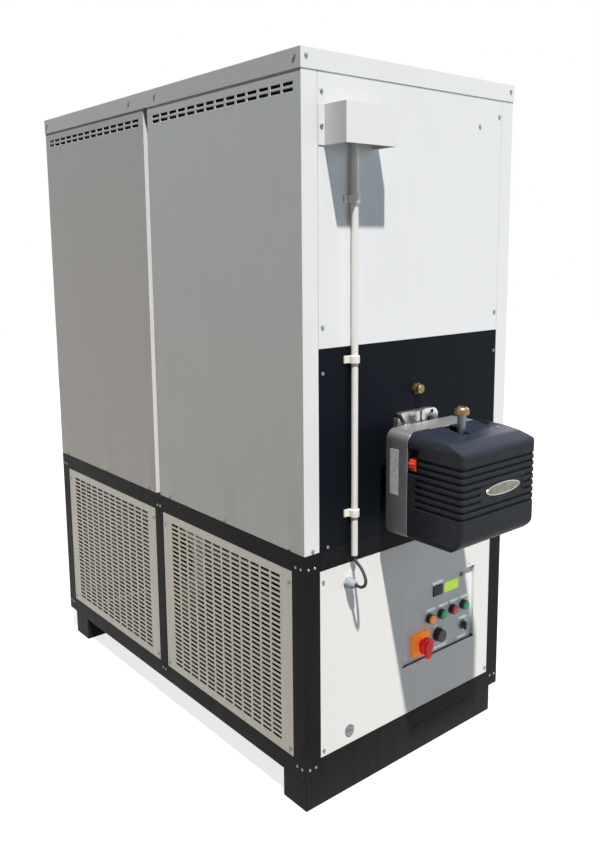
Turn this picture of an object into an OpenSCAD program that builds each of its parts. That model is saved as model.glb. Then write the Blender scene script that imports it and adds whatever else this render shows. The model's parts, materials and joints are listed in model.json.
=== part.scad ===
// Upright warm air generator: a sheet steel cabinet on a tube base, with a burner on its front,
// a blower behind the intake grilles, and a fired heat exchanger under the top outlet.
// Millimetres. +Z is up, -Y is the burner side. Cabinet sizes are written with y = 0 on the front.

/* [Cabinet] */
// Width of the cabinet over the side panels
cab_w = 768; // [720:4:860]
// Depth of the cabinet, front to rear
cab_d = 1380; // [1340:5:1500]
// Height of the skids under the base frame
skid_h = 78; // [60:1:110]
// Size of the square base tube
tube = 50; // [44:1:54]
// Wall of the base tube
tube_wall = 3; // [2:0.5:4]
// Clear height of the grille openings in the base
open_h = 498; // [480:2:560]
// Height of the burner plate
plate_h = 499; // [480:1:560]
// Height of the upper front panel below the lid
upper_h = 630; // [600:2:700]
// Height of the lid rim
lid_h = 45; // [40:1:60]
// Overhang of the lid on each side
lid_over = 1.5; // [1.3:0.1:10]
// Thickness of the cabinet sheet
sheet = 2; // [1.5:0.1:2.5]
// Width of the front and rear flanges of the side panels
flange_w = 48; // [40:1:60]
// Width of the open joint between front and rear side panels
side_joint = 24; // [16:1:30]
// Depth of the folded edges in the side joint
joint_depth = 16; // [12:1:18]

/* [Skids] */
// Width of each skid, front to rear
skid_w = 92; // [70:1:110]
// Distance of the rear skid from the rear edge
skid_inset = 50; // [30:1:80]
// Length by which the skids stop short on the right
skid_short = 35; // [10:1:60]
// Wall of the skids
skid_wall = 4; // [3:0.5:6]

/* [Grilles and vents] */
// Length of a punched slot
slot_len = 36.4; // [30:0.2:40]
// Height of a punched slot
slot_h = 7.8; // [5:0.2:8.6]
// Distance between slot columns
slot_pitch = 44; // [42:1:48]
// Distance between slot rows
row_pitch = 13.8; // [12:0.2:15]
// Slot columns in a grille
slot_cols = 12; // [8:1:12]
// Slot rows in a grille
slot_rows = 33; // [20:1:33]
// Slot columns in each side panel's vent
vent_cols = 14; // [8:1:14]
// Distance between vent columns
vent_pitch = 45; // [42:1:46]
// Distance from the lid's lower edge to the upper vent row
vent_drop = 29; // [20:1:60]
// Depth of the folded edges of grilles and lower panels
fold = 14; // [10:1:20]

/* [Burner] */
// Width of the burner housing
burner_w = 274; // [250:2:300]
// Height of the burner housing
burner_h = 268; // [240:2:280]
// Depth of the cast housing
casting_d = 73; // [60:1:90]
// Depth of the burner cover
cover_d = 172; // [150:1:200]
// Gap between the burner plate and the casting
burner_gap = 40; // [34:1:60]
// Height of the burner's lower edge above the burner plate's
burner_low = 20; // [16:1:60]
// Shift of the burner's axis from the cabinet's middle
burner_x = -12; // [-30:1:30]
// Outer diameter of the blast tube
blast_d = 114; // [100:1:120]
// Wall of the burner cover
cover_wall = 3; // [2:0.5:4]
// Number of grooves round the cover
cover_grooves = 8; // [5:1:9]
// Distance the cover draws off its housing
cover_travel = 220; // [180:5:260]

/* [Controls] */
// Width of the control recess
pan_w = 302; // [290:1:320]
// Height of the control recess
pan_h = 221; // [210:1:240]
// Depth of the control recess
pan_d = 10; // [8:1:16]
// Bezel diameter of the pilot lamps
lamp_d = 28; // [26:0.5:30]
// Distance between pilot lamps
lamp_pitch = 48.5; // [42:0.5:50]
// Width of the main switch plate
switch_w = 65; // [60:1:68]
// Diameter of the thermostat knob
thermostat_d = 40; // [34:1:44]
// Travel of the reset button
reset_travel = 3; // [2:0.5:4]

/* [Heat exchanger] */
// Outer radius of the combustion chamber
chamber_r = 185; // [170:1:186]
// Wall of the combustion chamber
chamber_wall = 4; // [3:0.5:6]
// Length of the combustion chamber
chamber_len = 1050; // [900:10:1100]
// Outer diameter of an exchanger tube
ex_tube_d = 60; // [50:1:64]
// Outer diameter of the flue spigot
flue_d = 180; // [150:1:190]
// Length of the flue spigot outside the rear panel
flue_out = 105; // [80:1:160]

/* [Blower] */
// Diameter of the blower wheel
wheel_d = 320; // [300:2:330]
// Width of the blower wheel
wheel_w = 300; // [260:2:310]
// Diameter of the blower shaft
shaft_d = 30; // [25:1:35]
// Diameter of the fan motor
motor_d = 150; // [130:2:160]
// Pitch diameter of the belt on the blower pulley
big_pulley_d = 200; // [180:2:220]
// Pitch diameter of the belt on the motor pulley
small_pulley_d = 100; // [90:2:120]

/* [Conduit] */
// Outer diameter of the conduit
conduit_d = 17; // [16:0.5:20]
// Diameter of the probe cable
cable_d = 8; // [6:0.5:8]

/* [Hidden] */

$fn = 48;
e = 0.01;
seat_gap = 0.3;
run_gap = 0.05;

// Cabinet levels and faces
hw = cab_w / 2;
z_open = skid_h + tube;
z_rail = z_open + open_h;
z_case = z_rail + tube;
z_plate = z_case + plate_h;
z_lid = z_plate + upper_h;
z_top = z_lid + lid_h;
// The panels run up behind the lid rim
lid_lap = 35;
z_panel = z_lid + lid_lap;
lid_sheet = 2;
burner_reach = burner_gap + casting_d + cover_d;
// The middle of the whole object, front to rear, is the origin
y_mid = (cab_d + flue_out - burner_reach) / 2;

// Base frame
mid_post_w = 46;
mid_y = cab_d / 2;
cell_d = (cab_d - 2 * tube - mid_post_w) / 2;
cell_y = [tube + cell_d / 2, cab_d - tube - cell_d / 2];
opening_gap = 0.5;
face_out = 0.5;
cross_w = 40;
floor_t = 2;

// Casing
post = 30;
post_wall = 2;
// The heat shields stand this far outside the posts' inner faces
liner_in = 4;
liner_t = 1.2;
panel_gap = 1;
strip_w = 56;
strip_t = 2.5;
deck_t = 3;
deck_gap = 2;
deck_w = cab_w - 2 * (sheet + post + deck_gap);
inner_w = cab_w - 2 * flange_w - 2 * panel_gap;

// Lid outlet
outlet_w = 480;
outlet_d = 800;
outlet_bolt_x = 540;
outlet_bolt_y = 860;
outlet_bolt_d = 9;

// Burner axis and faces
bx = burner_x;
b_z0 = z_case + burner_low;
b_z1 = b_z0 + burner_h;
b_y0 = -burner_gap;
b_y1 = b_y0 - casting_d;
b_y2 = b_y1 - cover_d;
blast_z = b_z0 + 174;
fan_z = b_z0 + 84;
casting_wall = 6;
casting_r = 28;
casting_low_r = 16;
cover_r = 30;
cover_low_r = 34;
cover_corner_r = 10;
cover_right = 6;
cover_chin_r = 56;
chin_step = 5;
groove_pitch = 16.8;
groove_h = 6.5;
groove_depth = 2;
badge_t = 1.5;
groove_z0 = b_z0 + 90;
badge_w = 158;
badge_h = 36;
cover_gap = 0.3;
flange_pw = 154;
flange_off = 8;
flange_ph = 239;
flange_t = 16;
flange_boss = 4;
flange_z = b_z0 + 173.5;
clamp_z = flange_z + flange_ph / 2 - 16;
ear_out = 16;
clamp_y = -flange_t - ear_out / 2 - 0.5;
stud_x = 54;
stud_z = 100;
pipe_d = 22;
pipe_x = bx + 4;
pipe_y = b_y1 - 50;
pipe_top = b_z0 + 322;
nut_h = 18;
nut_d = 38;
notch_w = pipe_d + 8;
valley_drop = 14;
cover_over = 2;
damper_in = 15;
damper_x = bx - burner_w / 2 + damper_in;
damper_y = b_y1 - 15;
damper_z = b_z0 + 191;
damper_d = 36;
damper_len = 18;
damper_shaft = 6;
blast_wall = 3;
blast_len = 190;
fan_d = 120;
fan_w = 46;
fan_shaft_d = 12;
burner_motor_d = 96;
burner_motor_len = 92;

// Control recess
pan_t = 1.5;
pan_cx = 115;
pan_z0 = z_open + 139;
pan_cz = pan_z0 + pan_h / 2;
pan_lip = 12;
relief = 11;
lamp_x0 = pan_cx - 34.5;
lamp_z = pan_z0 + 109;
lamp_hole = 22;
bezel_h = 13;
lens_d = 24;
lens_h = 6;
switch_x = pan_cx - 76;
switch_z = pan_z0 + 49;
switch_h = 67;
switch_t = 10;
switch_knob_d = 48;
switch_neck = 12;
switch_neck_d = 26;
switch_disc_h = 11;
switch_grip = [22, 50];
switch_grip_h = 6;
switch_shaft = 10;
thermostat_x = pan_cx + 2;
thermostat_z = pan_z0 + 50;
thermostat_h = 19;
selector_x = pan_cx + 111;
selector_z = pan_z0 + 46;
selector_d = 29;
selector_t = 7;
display_x = pan_cx - 1;
display_z = pan_z0 + 183;
display_w = 38;
display_h = 29;
reset_x = pan_cx + 103;
reset_z = pan_z0 + 202.5;
reset_d = 13;
knob_shaft = 6;
box_d = 128;

// Lock
lock_x = -hw + 148;
lock_z = z_open + 40;
lock_d = 30;
barrel_d = 20;

// Sensor cover, conduit, gland
cover_x0 = -hw + 67;
cover_x1 = -hw + 224;
cover_z0 = z_lid - 163;
cover_z1 = z_lid - 72;
cover_out = 76;
conduit_x = -hw + 153;
conduit_y = -(conduit_d / 2 + 4);
conduit_z0 = z_rail + 22;
conduit_z1 = z_lid - 145;
conduit_wall = 1.5;
limit_w = 60;
limit_h = 52;
limit_out = 40;
limit_probe_d = 12;
limit_probe_len = 90;
clip_z = [z_case + 82, z_case + 468, z_case + 849];
clip_h = 18;
clip_wall = 4;
gland_x = -hw + 142;
gland_z = z_rail - 50;
gland_out = 30;
gland_d = 25;
gland_nut = 29;

// Heat exchanger
ch_y0 = 3 + e;
ch_y1 = ch_y0 + chamber_len;
header_y = [60, 120];
collector_y = [cab_d - 290, cab_d - 190];
ex_pitch = ex_tube_d + 14;
ex_cols = 5;
ex_rows = 3;
ex_row = 84;
ex_z0 = blast_z + 290;
box_z0 = blast_z + 236;
box_z1 = ex_z0 + (ex_rows - 1) * ex_row + 72;
box_w = ex_cols * ex_pitch + 30;
box_t = 3;
neck_w = 140;
neck_wall = 6;
ex_wall = 2;
flue_z = z_plate + 125;
flue_wall = 2;
flue_collar = 8;
sight_bore = 10;
sight_x = bx + 12;
sight_z = blast_z + 175;

// Blower
bl_y = cab_d - 410;
blower_cross = [bl_y - 160, bl_y + 160];
bl_z = z_open + 242;
scroll_r = 215;
scroll_w = wheel_w + 60;
scroll_t = 2;
outlet_y1 = bl_y + 25;
bearing_d = shaft_d + 24;
pulley_x = scroll_w / 2 + 50;
belt_w = 13;
belt_t = 8;
motor_y = 420;
motor_cross = [motor_y - 80, motor_y + 60];
motor_z = z_open + motor_d / 2 + 18;
motor_x0 = -60;
motor_len = 230;
motor_shaft_d = 24;
belt_steps = 40;
belt_span = norm([bl_y - motor_y, bl_z - motor_z]);
belt_angle = atan2(bl_z - motor_z, bl_y - motor_y);

// The probe cable, from the gland's mouth, round its loop and up the conduit
cable_loop = [
  [gland_x, -gland_out, gland_z],
  [gland_x, -gland_out - 9, gland_z],
  [gland_x + 1, -gland_out - 20, gland_z + 1],
  [gland_x + 4, -gland_out - 28, gland_z + 8],
  [gland_x + 7, -gland_out - 28, gland_z + 19],
  [gland_x + 9, -gland_out - 20, gland_z + 32],
  [gland_x + 10, -gland_out - 8, gland_z + 45],
  [conduit_x, conduit_y - 5, conduit_z0 - 14],
  [conduit_x, conduit_y, conduit_z0]
];
cable_sides = 8;
cable_steps = 3;

// ---------------------------------------------------------------- helpers

// Puts a shape written from the front plane at the origin of the whole object
module placed() { translate([0, -y_mid, 0]) children(); }

// A box from its lowest corner and its size
module block(at, size) { translate(at) cube(size); }

// Turns a shape's +Z to face the front, at a point of a front face
module facing_front(x, y, z) { translate([x, y, z]) rotate([90, 0, 0]) children(); }

// Turns a shape's +Z to face left, at a point of a left face
module facing_left(x, y, z) { translate([x, y, z]) rotate([0, -90, 0]) children(); }

// Turns a shape's +Z to face right, at a point of a right face
module facing_right(x, y, z) { translate([x, y, z]) rotate([0, 90, 0]) children(); }

// Turns a shape's +Z to face the rear, at a point of a rear face
module facing_rear(x, y, z) { translate([x, y, z]) rotate([-90, 0, 0]) children(); }

// Copies a shape to the other side of the cabinet
module other_side() { mirror([1, 0, 0]) children(); }

// A square tube along Z
module tube_z(at, w, d, h, wall) {
  difference() {
    block(at, [w, d, h]);
    block(at + [wall, wall, -e], [w - 2 * wall, d - 2 * wall, h + 2 * e]);
  }
}

// A tube along X
module tube_x(at, len, d, h, wall) {
  difference() {
    block(at, [len, d, h]);
    block(at + [-e, wall, wall], [len + 2 * e, d - 2 * wall, h - 2 * wall]);
  }
}

// A tube along Y
module tube_y(at, w, len, h, wall) {
  difference() {
    block(at, [w, len, h]);
    block(at + [wall, -e, wall], [w - 2 * wall, len + 2 * e, h - 2 * wall]);
  }
}

// A flat outline with round corners
module rounded(w, h, r) {
  square([w, h - 2 * r], center = true);
  square([w - 2 * r, h], center = true);
  for (x = [-1, 1], y = [-1, 1]) translate([x * (w / 2 - r), y * (h / 2 - r)]) circle(r);
}

// A round bar with a hole, along +Z
module ring(d, hole, h) {
  difference() {
    cylinder(d = d, h = h);
    translate([0, 0, -e]) cylinder(d = hole, h = h + 2 * e);
  }
}

// A pan head screw, its seat at z = 0
module screw_head() {
  cylinder(d = 9, h = 2);
  translate([0, 0, 2]) cylinder(d1 = 8, d2 = 5, h = 1.2);
}

// A small domed screw of the base frame, its seat at z = 0
module frame_screw() { cylinder(d1 = 7.6, d2 = 4.4, h = 1.8); }

// ---------------------------------------------------------------- base frame

module base_posts() {
  color("#26262a") placed() {
    for (x = [-hw, hw - tube], y = [0, cab_d - tube])
      tube_z([x, y, skid_h], tube, tube, z_case - skid_h, tube_wall);
    for (x = [-hw, hw - tube])
      tube_z([x, mid_y - mid_post_w / 2, z_open], tube, mid_post_w, open_h, tube_wall);
  }
}

module base_rails() {
  clear_w = cab_w - 2 * tube;
  color("#26262a") placed() {
    for (z = [skid_h, z_rail]) {
      for (y = [0, cab_d - tube]) tube_x([-hw + tube, y, z], clear_w, tube, tube, tube_wall);
      for (x = [-hw, hw - tube]) tube_y([x, tube, z], tube, cab_d - 2 * tube, tube, tube_wall);
      tube_x([-hw + tube, mid_y - mid_post_w / 2, z], clear_w, mid_post_w, tube, tube_wall);
    }
    for (y = concat(motor_cross, blower_cross))
      tube_x([-hw + tube, y - cross_w / 2, skid_h], clear_w, cross_w, tube, tube_wall);
    block([-hw + 1, skid_w + 1, skid_h - floor_t - seat_gap],
      [cab_w - 2, cab_d - skid_inset - 2 * skid_w - 2, floor_t]);
  }
}

// One skid: a box section, closed at its left end
module skid(y) {
  len = cab_w - skid_short;
  difference() {
    block([-hw, y, 0], [len, skid_w, skid_h]);
    block([-hw + skid_wall, y + skid_wall, skid_wall],
      [len, skid_w - 2 * skid_wall, skid_h - 2 * skid_wall]);
  }
}

module skids() {
  color("#26262a") placed() {
    skid(0);
    skid(cab_d - skid_inset - skid_w);
  }
}

// A slotted tray for one opening of the base, its face at x = 0 and its folds towards +X
module grille_tray() {
  w = cell_d - 2 * opening_gap;
  h = open_h - 2 * opening_gap;
  rotate([90, 0, 90]) linear_extrude(sheet) difference() {
    square([w, h], center = true);
    for (i = [0:slot_cols - 1], j = [0:slot_rows - 1])
      translate([(i - (slot_cols - 1) / 2) * slot_pitch, (j - (slot_rows - 1) / 2) * row_pitch])
        square([slot_len, slot_h], center = true);
  }
  difference() {
    block([sheet, -w / 2, -h / 2], [fold - sheet, w, h]);
    block([sheet - e, -w / 2 + sheet, -h / 2 + sheet], [fold, w - 2 * sheet, h - 2 * sheet]);
  }
}

// The grille of one opening on the left
module grille_left(y) {
  color("#a9a59a") placed() translate([-hw + face_out, y, z_open + open_h / 2]) grille_tray();
}

module grille_left_front() { grille_left(cell_y[0]); }

module grille_left_rear() { grille_left(cell_y[1]); }

module grille_right_front() { other_side() grille_left(cell_y[0]); }

module grille_right_rear() { other_side() grille_left(cell_y[1]); }

// A tray for the front or rear opening of the base, its face at y = 0 and its folds towards +Y
module base_tray() {
  w = cab_w - 2 * tube - 2 * opening_gap;
  h = open_h - 2 * opening_gap;
  difference() {
    block([-w / 2, 0, z_open + opening_gap], [w, fold, h]);
    block([-w / 2 + sheet, sheet, z_open + opening_gap + sheet],
      [w - 2 * sheet, fold, h - 2 * sheet]);
  }
}

module lower_front_panel() {
  color("#e9eaea") placed() difference() {
    translate([0, face_out, 0]) base_tray();
    block([pan_cx - pan_w / 2, -e, pan_z0], [pan_w, sheet + 1, pan_h]);
    facing_front(lock_x, sheet + 1, lock_z) cylinder(d = barrel_d + 1, h = sheet + 2);
    facing_front(gland_x, sheet + 1, gland_z) cylinder(d = 16, h = sheet + 2);
  }
}

module lower_rear_panel() {
  color("#e9eaea") placed() translate([0, cab_d - face_out, 0]) mirror([0, 1, 0]) base_tray();
}

// ---------------------------------------------------------------- controls

// The recessed tray that carries the controls, folded on its left and right, with its holes
module control_pan() {
  outer_w = pan_w - 2 * seat_gap;
  outer_h = pan_h - 2 * seat_gap;
  lip_y = face_out + sheet;
  color("#d9dadb") placed() difference() {
    union() {
      block([pan_cx - outer_w / 2, face_out, pan_cz - outer_h / 2],
        [outer_w, pan_d + pan_t - face_out, outer_h]);
      block([pan_cx - pan_w / 2 - pan_lip, lip_y, pan_z0 - pan_lip],
        [pan_w + 2 * pan_lip, pan_t, pan_h + 2 * pan_lip]);
    }
    block([pan_cx - outer_w / 2 + pan_t, -e, pan_cz - outer_h / 2 - e],
      [outer_w - 2 * pan_t, pan_d + e, outer_h + 2 * e]);
    for (i = [0:3]) pan_hole(lamp_x0 + i * lamp_pitch, lamp_z, lamp_hole);
    pan_hole(switch_x, switch_z, switch_shaft + 4);
    pan_hole(thermostat_x, thermostat_z, knob_shaft + 2 * run_gap);
    pan_hole(selector_x, selector_z, lamp_hole);
    pan_hole(reset_x, reset_z, reset_d + 2 * run_gap);
    block([display_x - display_w / 2 + 2, pan_d - e, display_z - display_h / 2 + 2],
      [display_w - 4, pan_t + 1, display_h - 4]);
    for (x = [-1, 1], z = [-1, 1])
      block([pan_cx + x * outer_w / 2 - relief / 2, face_out - e, pan_cz + z * outer_h / 2 - relief / 2],
        [relief, pan_d + pan_t, relief]);
  }
}

// A round hole through the back of the recess
module pan_hole(x, z, d) { facing_front(x, pan_d + pan_t + 1, z) cylinder(d = d, h = pan_t + 2); }

module display_module() {
  color("#1b1c20") placed() {
    block([display_x - display_w / 2, pan_d - 4, display_z - display_h / 2],
      [display_w, 4, display_h]);
    block([display_x - display_w / 2 + 2.5, pan_d, display_z - display_h / 2 + 2.5],
      [display_w - 5, 40, display_h - 5]);
  }
}

module reset_button() {
  color("#8a6a3a") placed() {
    facing_front(reset_x, pan_d + pan_t + 14, reset_z)
      cylinder(d = reset_d, h = pan_t + 14 + reset_travel + 4);
    facing_front(reset_x, pan_d + pan_t + 3 + seat_gap, reset_z) cylinder(d = reset_d + 5, h = 3);
  }
}

// Bezel and body of one pilot lamp, seated on the recess's back at z = 0
module lamp_bezel() {
  difference() {
    union() {
      cylinder(d = lamp_d, h = bezel_h);
      translate([0, 0, -pan_t - 30]) cylinder(d = lamp_hole - 0.6, h = pan_t + 30 + e);
    }
    translate([0, 0, bezel_h - 4]) cylinder(d = lens_d, h = 5);
  }
}

// Lens of one pilot lamp, standing in its bezel
module lamp_lens() {
  translate([0, 0, bezel_h - 4]) {
    cylinder(d = lens_d - 0.2, h = 4 + lens_h - 3);
    translate([0, 0, 4 + lens_h - 3]) cylinder(d1 = lens_d - 0.2, d2 = lens_d - 7, h = 3);
  }
}

module lamp_bezels() {
  color("#2a2a2c") placed() for (i = [0:3])
    facing_front(lamp_x0 + i * lamp_pitch, pan_d, lamp_z) lamp_bezel();
}

module lamp_lens_amber() {
  color("#d07a30") placed() facing_front(lamp_x0, pan_d, lamp_z) lamp_lens();
}

module lamp_lenses_green() {
  color("#1a8050") placed() for (i = [1, 3])
    facing_front(lamp_x0 + i * lamp_pitch, pan_d, lamp_z) lamp_lens();
}

module lamp_lens_red() {
  color("#8a2a35") placed() facing_front(lamp_x0 + 2 * lamp_pitch, pan_d, lamp_z) lamp_lens();
}

module main_switch_plate() {
  color("#e08a3a") placed() facing_front(switch_x, pan_d, switch_z) difference() {
    union() {
      linear_extrude(switch_t) rounded(switch_w, switch_h, 4);
      translate([0, 0, -pan_t - 50]) cylinder(d = switch_shaft + 3.6, h = pan_t + 50 + e);
    }
    translate([0, 0, -pan_t - 51]) cylinder(d = switch_shaft + 2 * run_gap, h = 80);
    for (s = [-1, 1]) translate([-s * 2 + s * 24, s * 25, switch_t - 4]) cylinder(d = 6, h = 5);
  }
}

module main_switch_knob() {
  color("#a02830") placed() facing_front(switch_x, pan_d - switch_t - seat_gap, switch_z) {
    translate([0, 0, -switch_t - 38]) cylinder(d = switch_shaft, h = switch_t + 38 + e);
    cylinder(d = switch_neck_d, h = switch_neck + e);
    translate([0, 0, switch_neck]) cylinder(d = switch_knob_d, h = switch_disc_h);
    translate([0, -9, switch_neck + switch_disc_h - e])
      linear_extrude(switch_grip_h) rounded(switch_grip[0], switch_grip[1], 9);
  }
}

module thermostat_knob() {
  color("#1b1c20") placed()
    facing_front(thermostat_x, pan_d - seat_gap, thermostat_z) {
      translate([0, 0, -20]) cylinder(d = knob_shaft, h = 20 + e);
      cylinder(d = thermostat_d, h = 4);
      difference() {
        translate([0, 0, 4 - e]) cylinder(d = thermostat_d - 4, h = thermostat_h - 4);
        for (a = [0:30:330]) rotate(a) translate([thermostat_d / 2, 0, 5]) cylinder(d = 7, h = 20);
      }
    }
}

module selector_bezel() {
  color("#b9bcc0") placed() facing_front(selector_x, pan_d, selector_z) difference() {
    union() {
      cylinder(d = selector_d, h = selector_t);
      translate([0, 0, -pan_t - 30]) cylinder(d = lamp_hole - 0.6, h = pan_t + 30 + e);
    }
    translate([0, 0, -pan_t - 31]) cylinder(d = knob_shaft + 2 * run_gap, h = 50);
  }
}

module selector_knob() {
  color("#1b1c20") placed() facing_front(selector_x, pan_d - selector_t - seat_gap, selector_z) {
    translate([0, 0, -26]) cylinder(d = knob_shaft, h = 26 + e);
    cylinder(d = selector_d - 6, h = 5);
    translate([0, 0, 5 - e]) linear_extrude(4) rounded(9, selector_d - 5, 3);
  }
}

// The box around the recess's rear, seated on the tray's lip, so nothing shows past the tray
module control_box() {
  w = pan_w + 2 * pan_lip - 2;
  h = pan_h + 2 * pan_lip - 2;
  y = face_out + sheet + pan_t;
  color("#8f9295") placed() difference() {
    block([pan_cx - w / 2, y, pan_cz - h / 2], [w, box_d, h]);
    block([pan_cx - w / 2 + sheet, y - e, pan_cz - h / 2 + sheet],
      [w - 2 * sheet, box_d - sheet, h - 2 * sheet]);
  }
}

module lock_housing() {
  color("#b9bcc0") placed() facing_front(lock_x, face_out, lock_z) {
    ring(lock_d, barrel_d, 3);
    translate([0, 0, -sheet - 18]) ring(barrel_d + 0.9, barrel_d - 4, sheet + 18 + e);
  }
}

module lock_barrel() {
  color("#8f9295") placed() facing_front(lock_x, face_out, lock_z) difference() {
    union() {
      translate([0, 0, run_gap]) cylinder(d = barrel_d - 2 * run_gap, h = 4 - run_gap);
      translate([0, 0, -sheet - 22]) cylinder(d = barrel_d - 4.1, h = sheet + 22 + run_gap + e);
      translate([-8, -8, -sheet - 22]) cube([16, 42, 3]);
    }
    translate([0, 0, 1.5]) cylinder(d = 9, h = 3, $fn = 3);
  }
}

// ---------------------------------------------------------------- probe conduit

module cable_gland() {
  color("#cfd3dc") placed() facing_front(gland_x, face_out, gland_z) difference() {
    union() {
      cylinder(d = gland_nut, h = 6, $fn = 6);
      translate([0, 0, 6]) cylinder(d = gland_d, h = 14);
      translate([0, 0, 20]) cylinder(d1 = gland_d, d2 = gland_d - 9, h = gland_out - 20 + face_out);
      translate([0, 0, -sheet - 12]) cylinder(d = 15.8, h = sheet + 12 + e);
    }
    translate([0, 0, -sheet - 13]) cylinder(d = cable_d, h = sheet + 30);
  }
}

// A point of a Catmull-Rom curve through four points
function curve_point(a, b, c, d, t) = 0.5 * (2 * b + (c - a) * t
  + (2 * a - 5 * b + 4 * c - d) * t * t + (3 * b - a - 3 * c + d) * t * t * t);

// The rings' centres: the loop smoothed, then one straight run up the conduit
function cable_centres(p) = let (n = len(p), q = concat([2 * p[0] - p[1]], p,
  [p[n - 1] + [0, 0, 12]])) concat(
    [for (i = [1:n - 1], k = [0:cable_steps - 1])
      curve_point(q[i - 1], q[i], q[i + 1], q[i + 2], k / cable_steps)],
    [p[n - 1], p[n - 1] + [0, 0, 20], [conduit_x, conduit_y, conduit_z1]]);

// The direction of the cable at one ring, the ends square to what they meet
function cable_way(p, i) = i == 0 ? [0, -1, 0] : i >= len(p) - 3 ? [0, 0, 1]
  : (p[i + 1] - p[i - 1]) / norm(p[i + 1] - p[i - 1]);

// One ring of points round the cable
function cable_ring(c, way) = let (u0 = cross(way, [1, 0, 0]), u = u0 / norm(u0),
  v = cross(way, u)) [for (k = [0:cable_sides - 1])
    c + cable_d / 2 * (cos(k * 360 / cable_sides) * u + sin(k * 360 / cable_sides) * v)];

module probe_cable() {
  c = cable_centres(cable_loop);
  n = cable_sides;
  pts = [for (i = [0:len(c) - 1]) each cable_ring(c[i], cable_way(c, i))];
  sides = [for (i = [0:len(c) - 2], k = [0:n - 1]) let (a = i * n + k, b = i * n + (k + 1) % n)
    each [[a, a + n, b], [b, a + n, b + n]]];
  last = (len(c) - 1) * n;
  caps = concat([for (k = [1:n - 2]) [0, k, k + 1]],
    [for (k = [1:n - 2]) [last, last + k + 1, last + k]]);
  color("#1e1e20") placed() polyhedron(pts, concat(sides, caps));
}

module conduit_pipe() {
  color("#e3e2e2") placed() translate([conduit_x, conduit_y, conduit_z0])
    ring(conduit_d, conduit_d - 2 * conduit_wall, conduit_z1 - conduit_z0);
}

// A saddle clip round the conduit, screwed down on its left
module conduit_clip(z) {
  r = conduit_d / 2 + clip_wall;
  difference() {
    union() {
      translate([conduit_x, conduit_y, z - clip_h / 2]) cylinder(r = r, h = clip_h);
      block([conduit_x - r, conduit_y, z - clip_h / 2], [2 * r, -conduit_y, clip_h]);
      block([conduit_x - r - 13, -4, z - clip_h / 2], [14, 4, clip_h]);
    }
    translate([conduit_x, conduit_y, z - clip_h]) cylinder(d = conduit_d + 0.1, h = 2 * clip_h);
    block([conduit_x - 2 * r, 0, z - clip_h], [4 * r, 2 * r, 2 * clip_h]);
  }
}

module conduit_clips() { color("#d9d9c9") placed() for (z = clip_z) conduit_clip(z); }

module limit_thermostat() {
  color("#2a2a2c") placed() {
    block([conduit_x - limit_w / 2, -limit_out, conduit_z1], [limit_w, limit_out, limit_h]);
    facing_rear(conduit_x, -e, conduit_z1 + limit_h / 2) cylinder(d = limit_probe_d, h = limit_probe_len);
  }
}

// A bent sheet hood, open below, with a foot on each side
module sensor_cover() {
  w = cover_x1 - cover_x0;
  h = cover_z1 - cover_z0;
  color("#e4e5e8") placed() {
    difference() {
      block([cover_x0, -cover_out, cover_z0], [w, cover_out, h]);
      block([cover_x0 + sheet, -cover_out + sheet, cover_z0 - e],
        [w - 2 * sheet, cover_out, h - sheet]);
    }
    block([cover_x0 - 18, -sheet, cover_z0], [18, sheet, h]);
    block([cover_x1, -sheet, cover_z0], [18, sheet, h]);
  }
}

// ---------------------------------------------------------------- casing

module casing_posts() {
  y1 = cab_d - sheet - post;
  h = z_top - lid_sheet - z_case;
  x = -hw + sheet;
  strip_x = -hw + joint_depth;
  color("#dfe0e0") placed() {
    for (s = [0, 1]) mirror([s, 0, 0]) {
      tube_z([x, sheet, z_case], post, post, h, post_wall);
      tube_z([x, y1, z_case], post, post, h, post_wall);
      tube_z([strip_x + strip_t, mid_y - post / 2, z_case], post, post, h, post_wall);
      block([strip_x, mid_y - strip_w / 2, z_case], [strip_t, strip_w, z_panel - z_case]);
      for (y = [sheet + post, mid_y + post / 2])
        block([x + post - liner_in, y - e, z_case + deck_t + 1],
          [liner_t, mid_y - post / 2 - sheet - post + 2 * e, z_panel - z_case - deck_t - 1]);
    }
  }
}

// Two rows of vent slots for a side panel, centred on y
module vent_slots(y) {
  for (j = [0, 1], i = [0:vent_cols - 1])
    translate([-hw - 1, y + (i - (vent_cols - 1) / 2) * vent_pitch, z_lid - vent_drop - j * row_pitch])
      translate([0, -slot_len / 2, -slot_h / 2]) cube([sheet + 2, slot_len, slot_h]);
}

// One left side panel from y0 to y1, with a flange on the outer end and a fold on the inner
module side_panel(y0, y1, flange_y, fold_y) {
  h = z_panel - z_case;
  color("#dfe0e0") placed() difference() {
    union() {
      block([-hw, y0, z_case], [sheet, y1 - y0, h]);
      block([-hw, flange_y, z_case], [flange_w, sheet, h]);
      block([-hw, fold_y, z_case], [joint_depth, sheet, h]);
    }
    vent_slots((y0 + y1) / 2);
  }
}

module side_panel_left_front() {
  side_panel(0, mid_y - side_joint / 2, 0, mid_y - side_joint / 2 - sheet);
}

module side_panel_left_rear() {
  side_panel(mid_y + side_joint / 2, cab_d, cab_d - sheet, mid_y + side_joint / 2);
}

module side_panel_right_front() { other_side() side_panel_left_front(); }

module side_panel_right_rear() { other_side() side_panel_left_rear(); }

module front_upper_panel() {
  color("#e9eaea") placed() difference() {
    block([-inner_w / 2, 0, z_plate + panel_gap], [inner_w, sheet, z_panel - z_plate - panel_gap]);
    facing_rear(conduit_x, -1, conduit_z1 + limit_h / 2) cylinder(d = limit_probe_d + 1, h = sheet + 2);
  }
}

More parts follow.
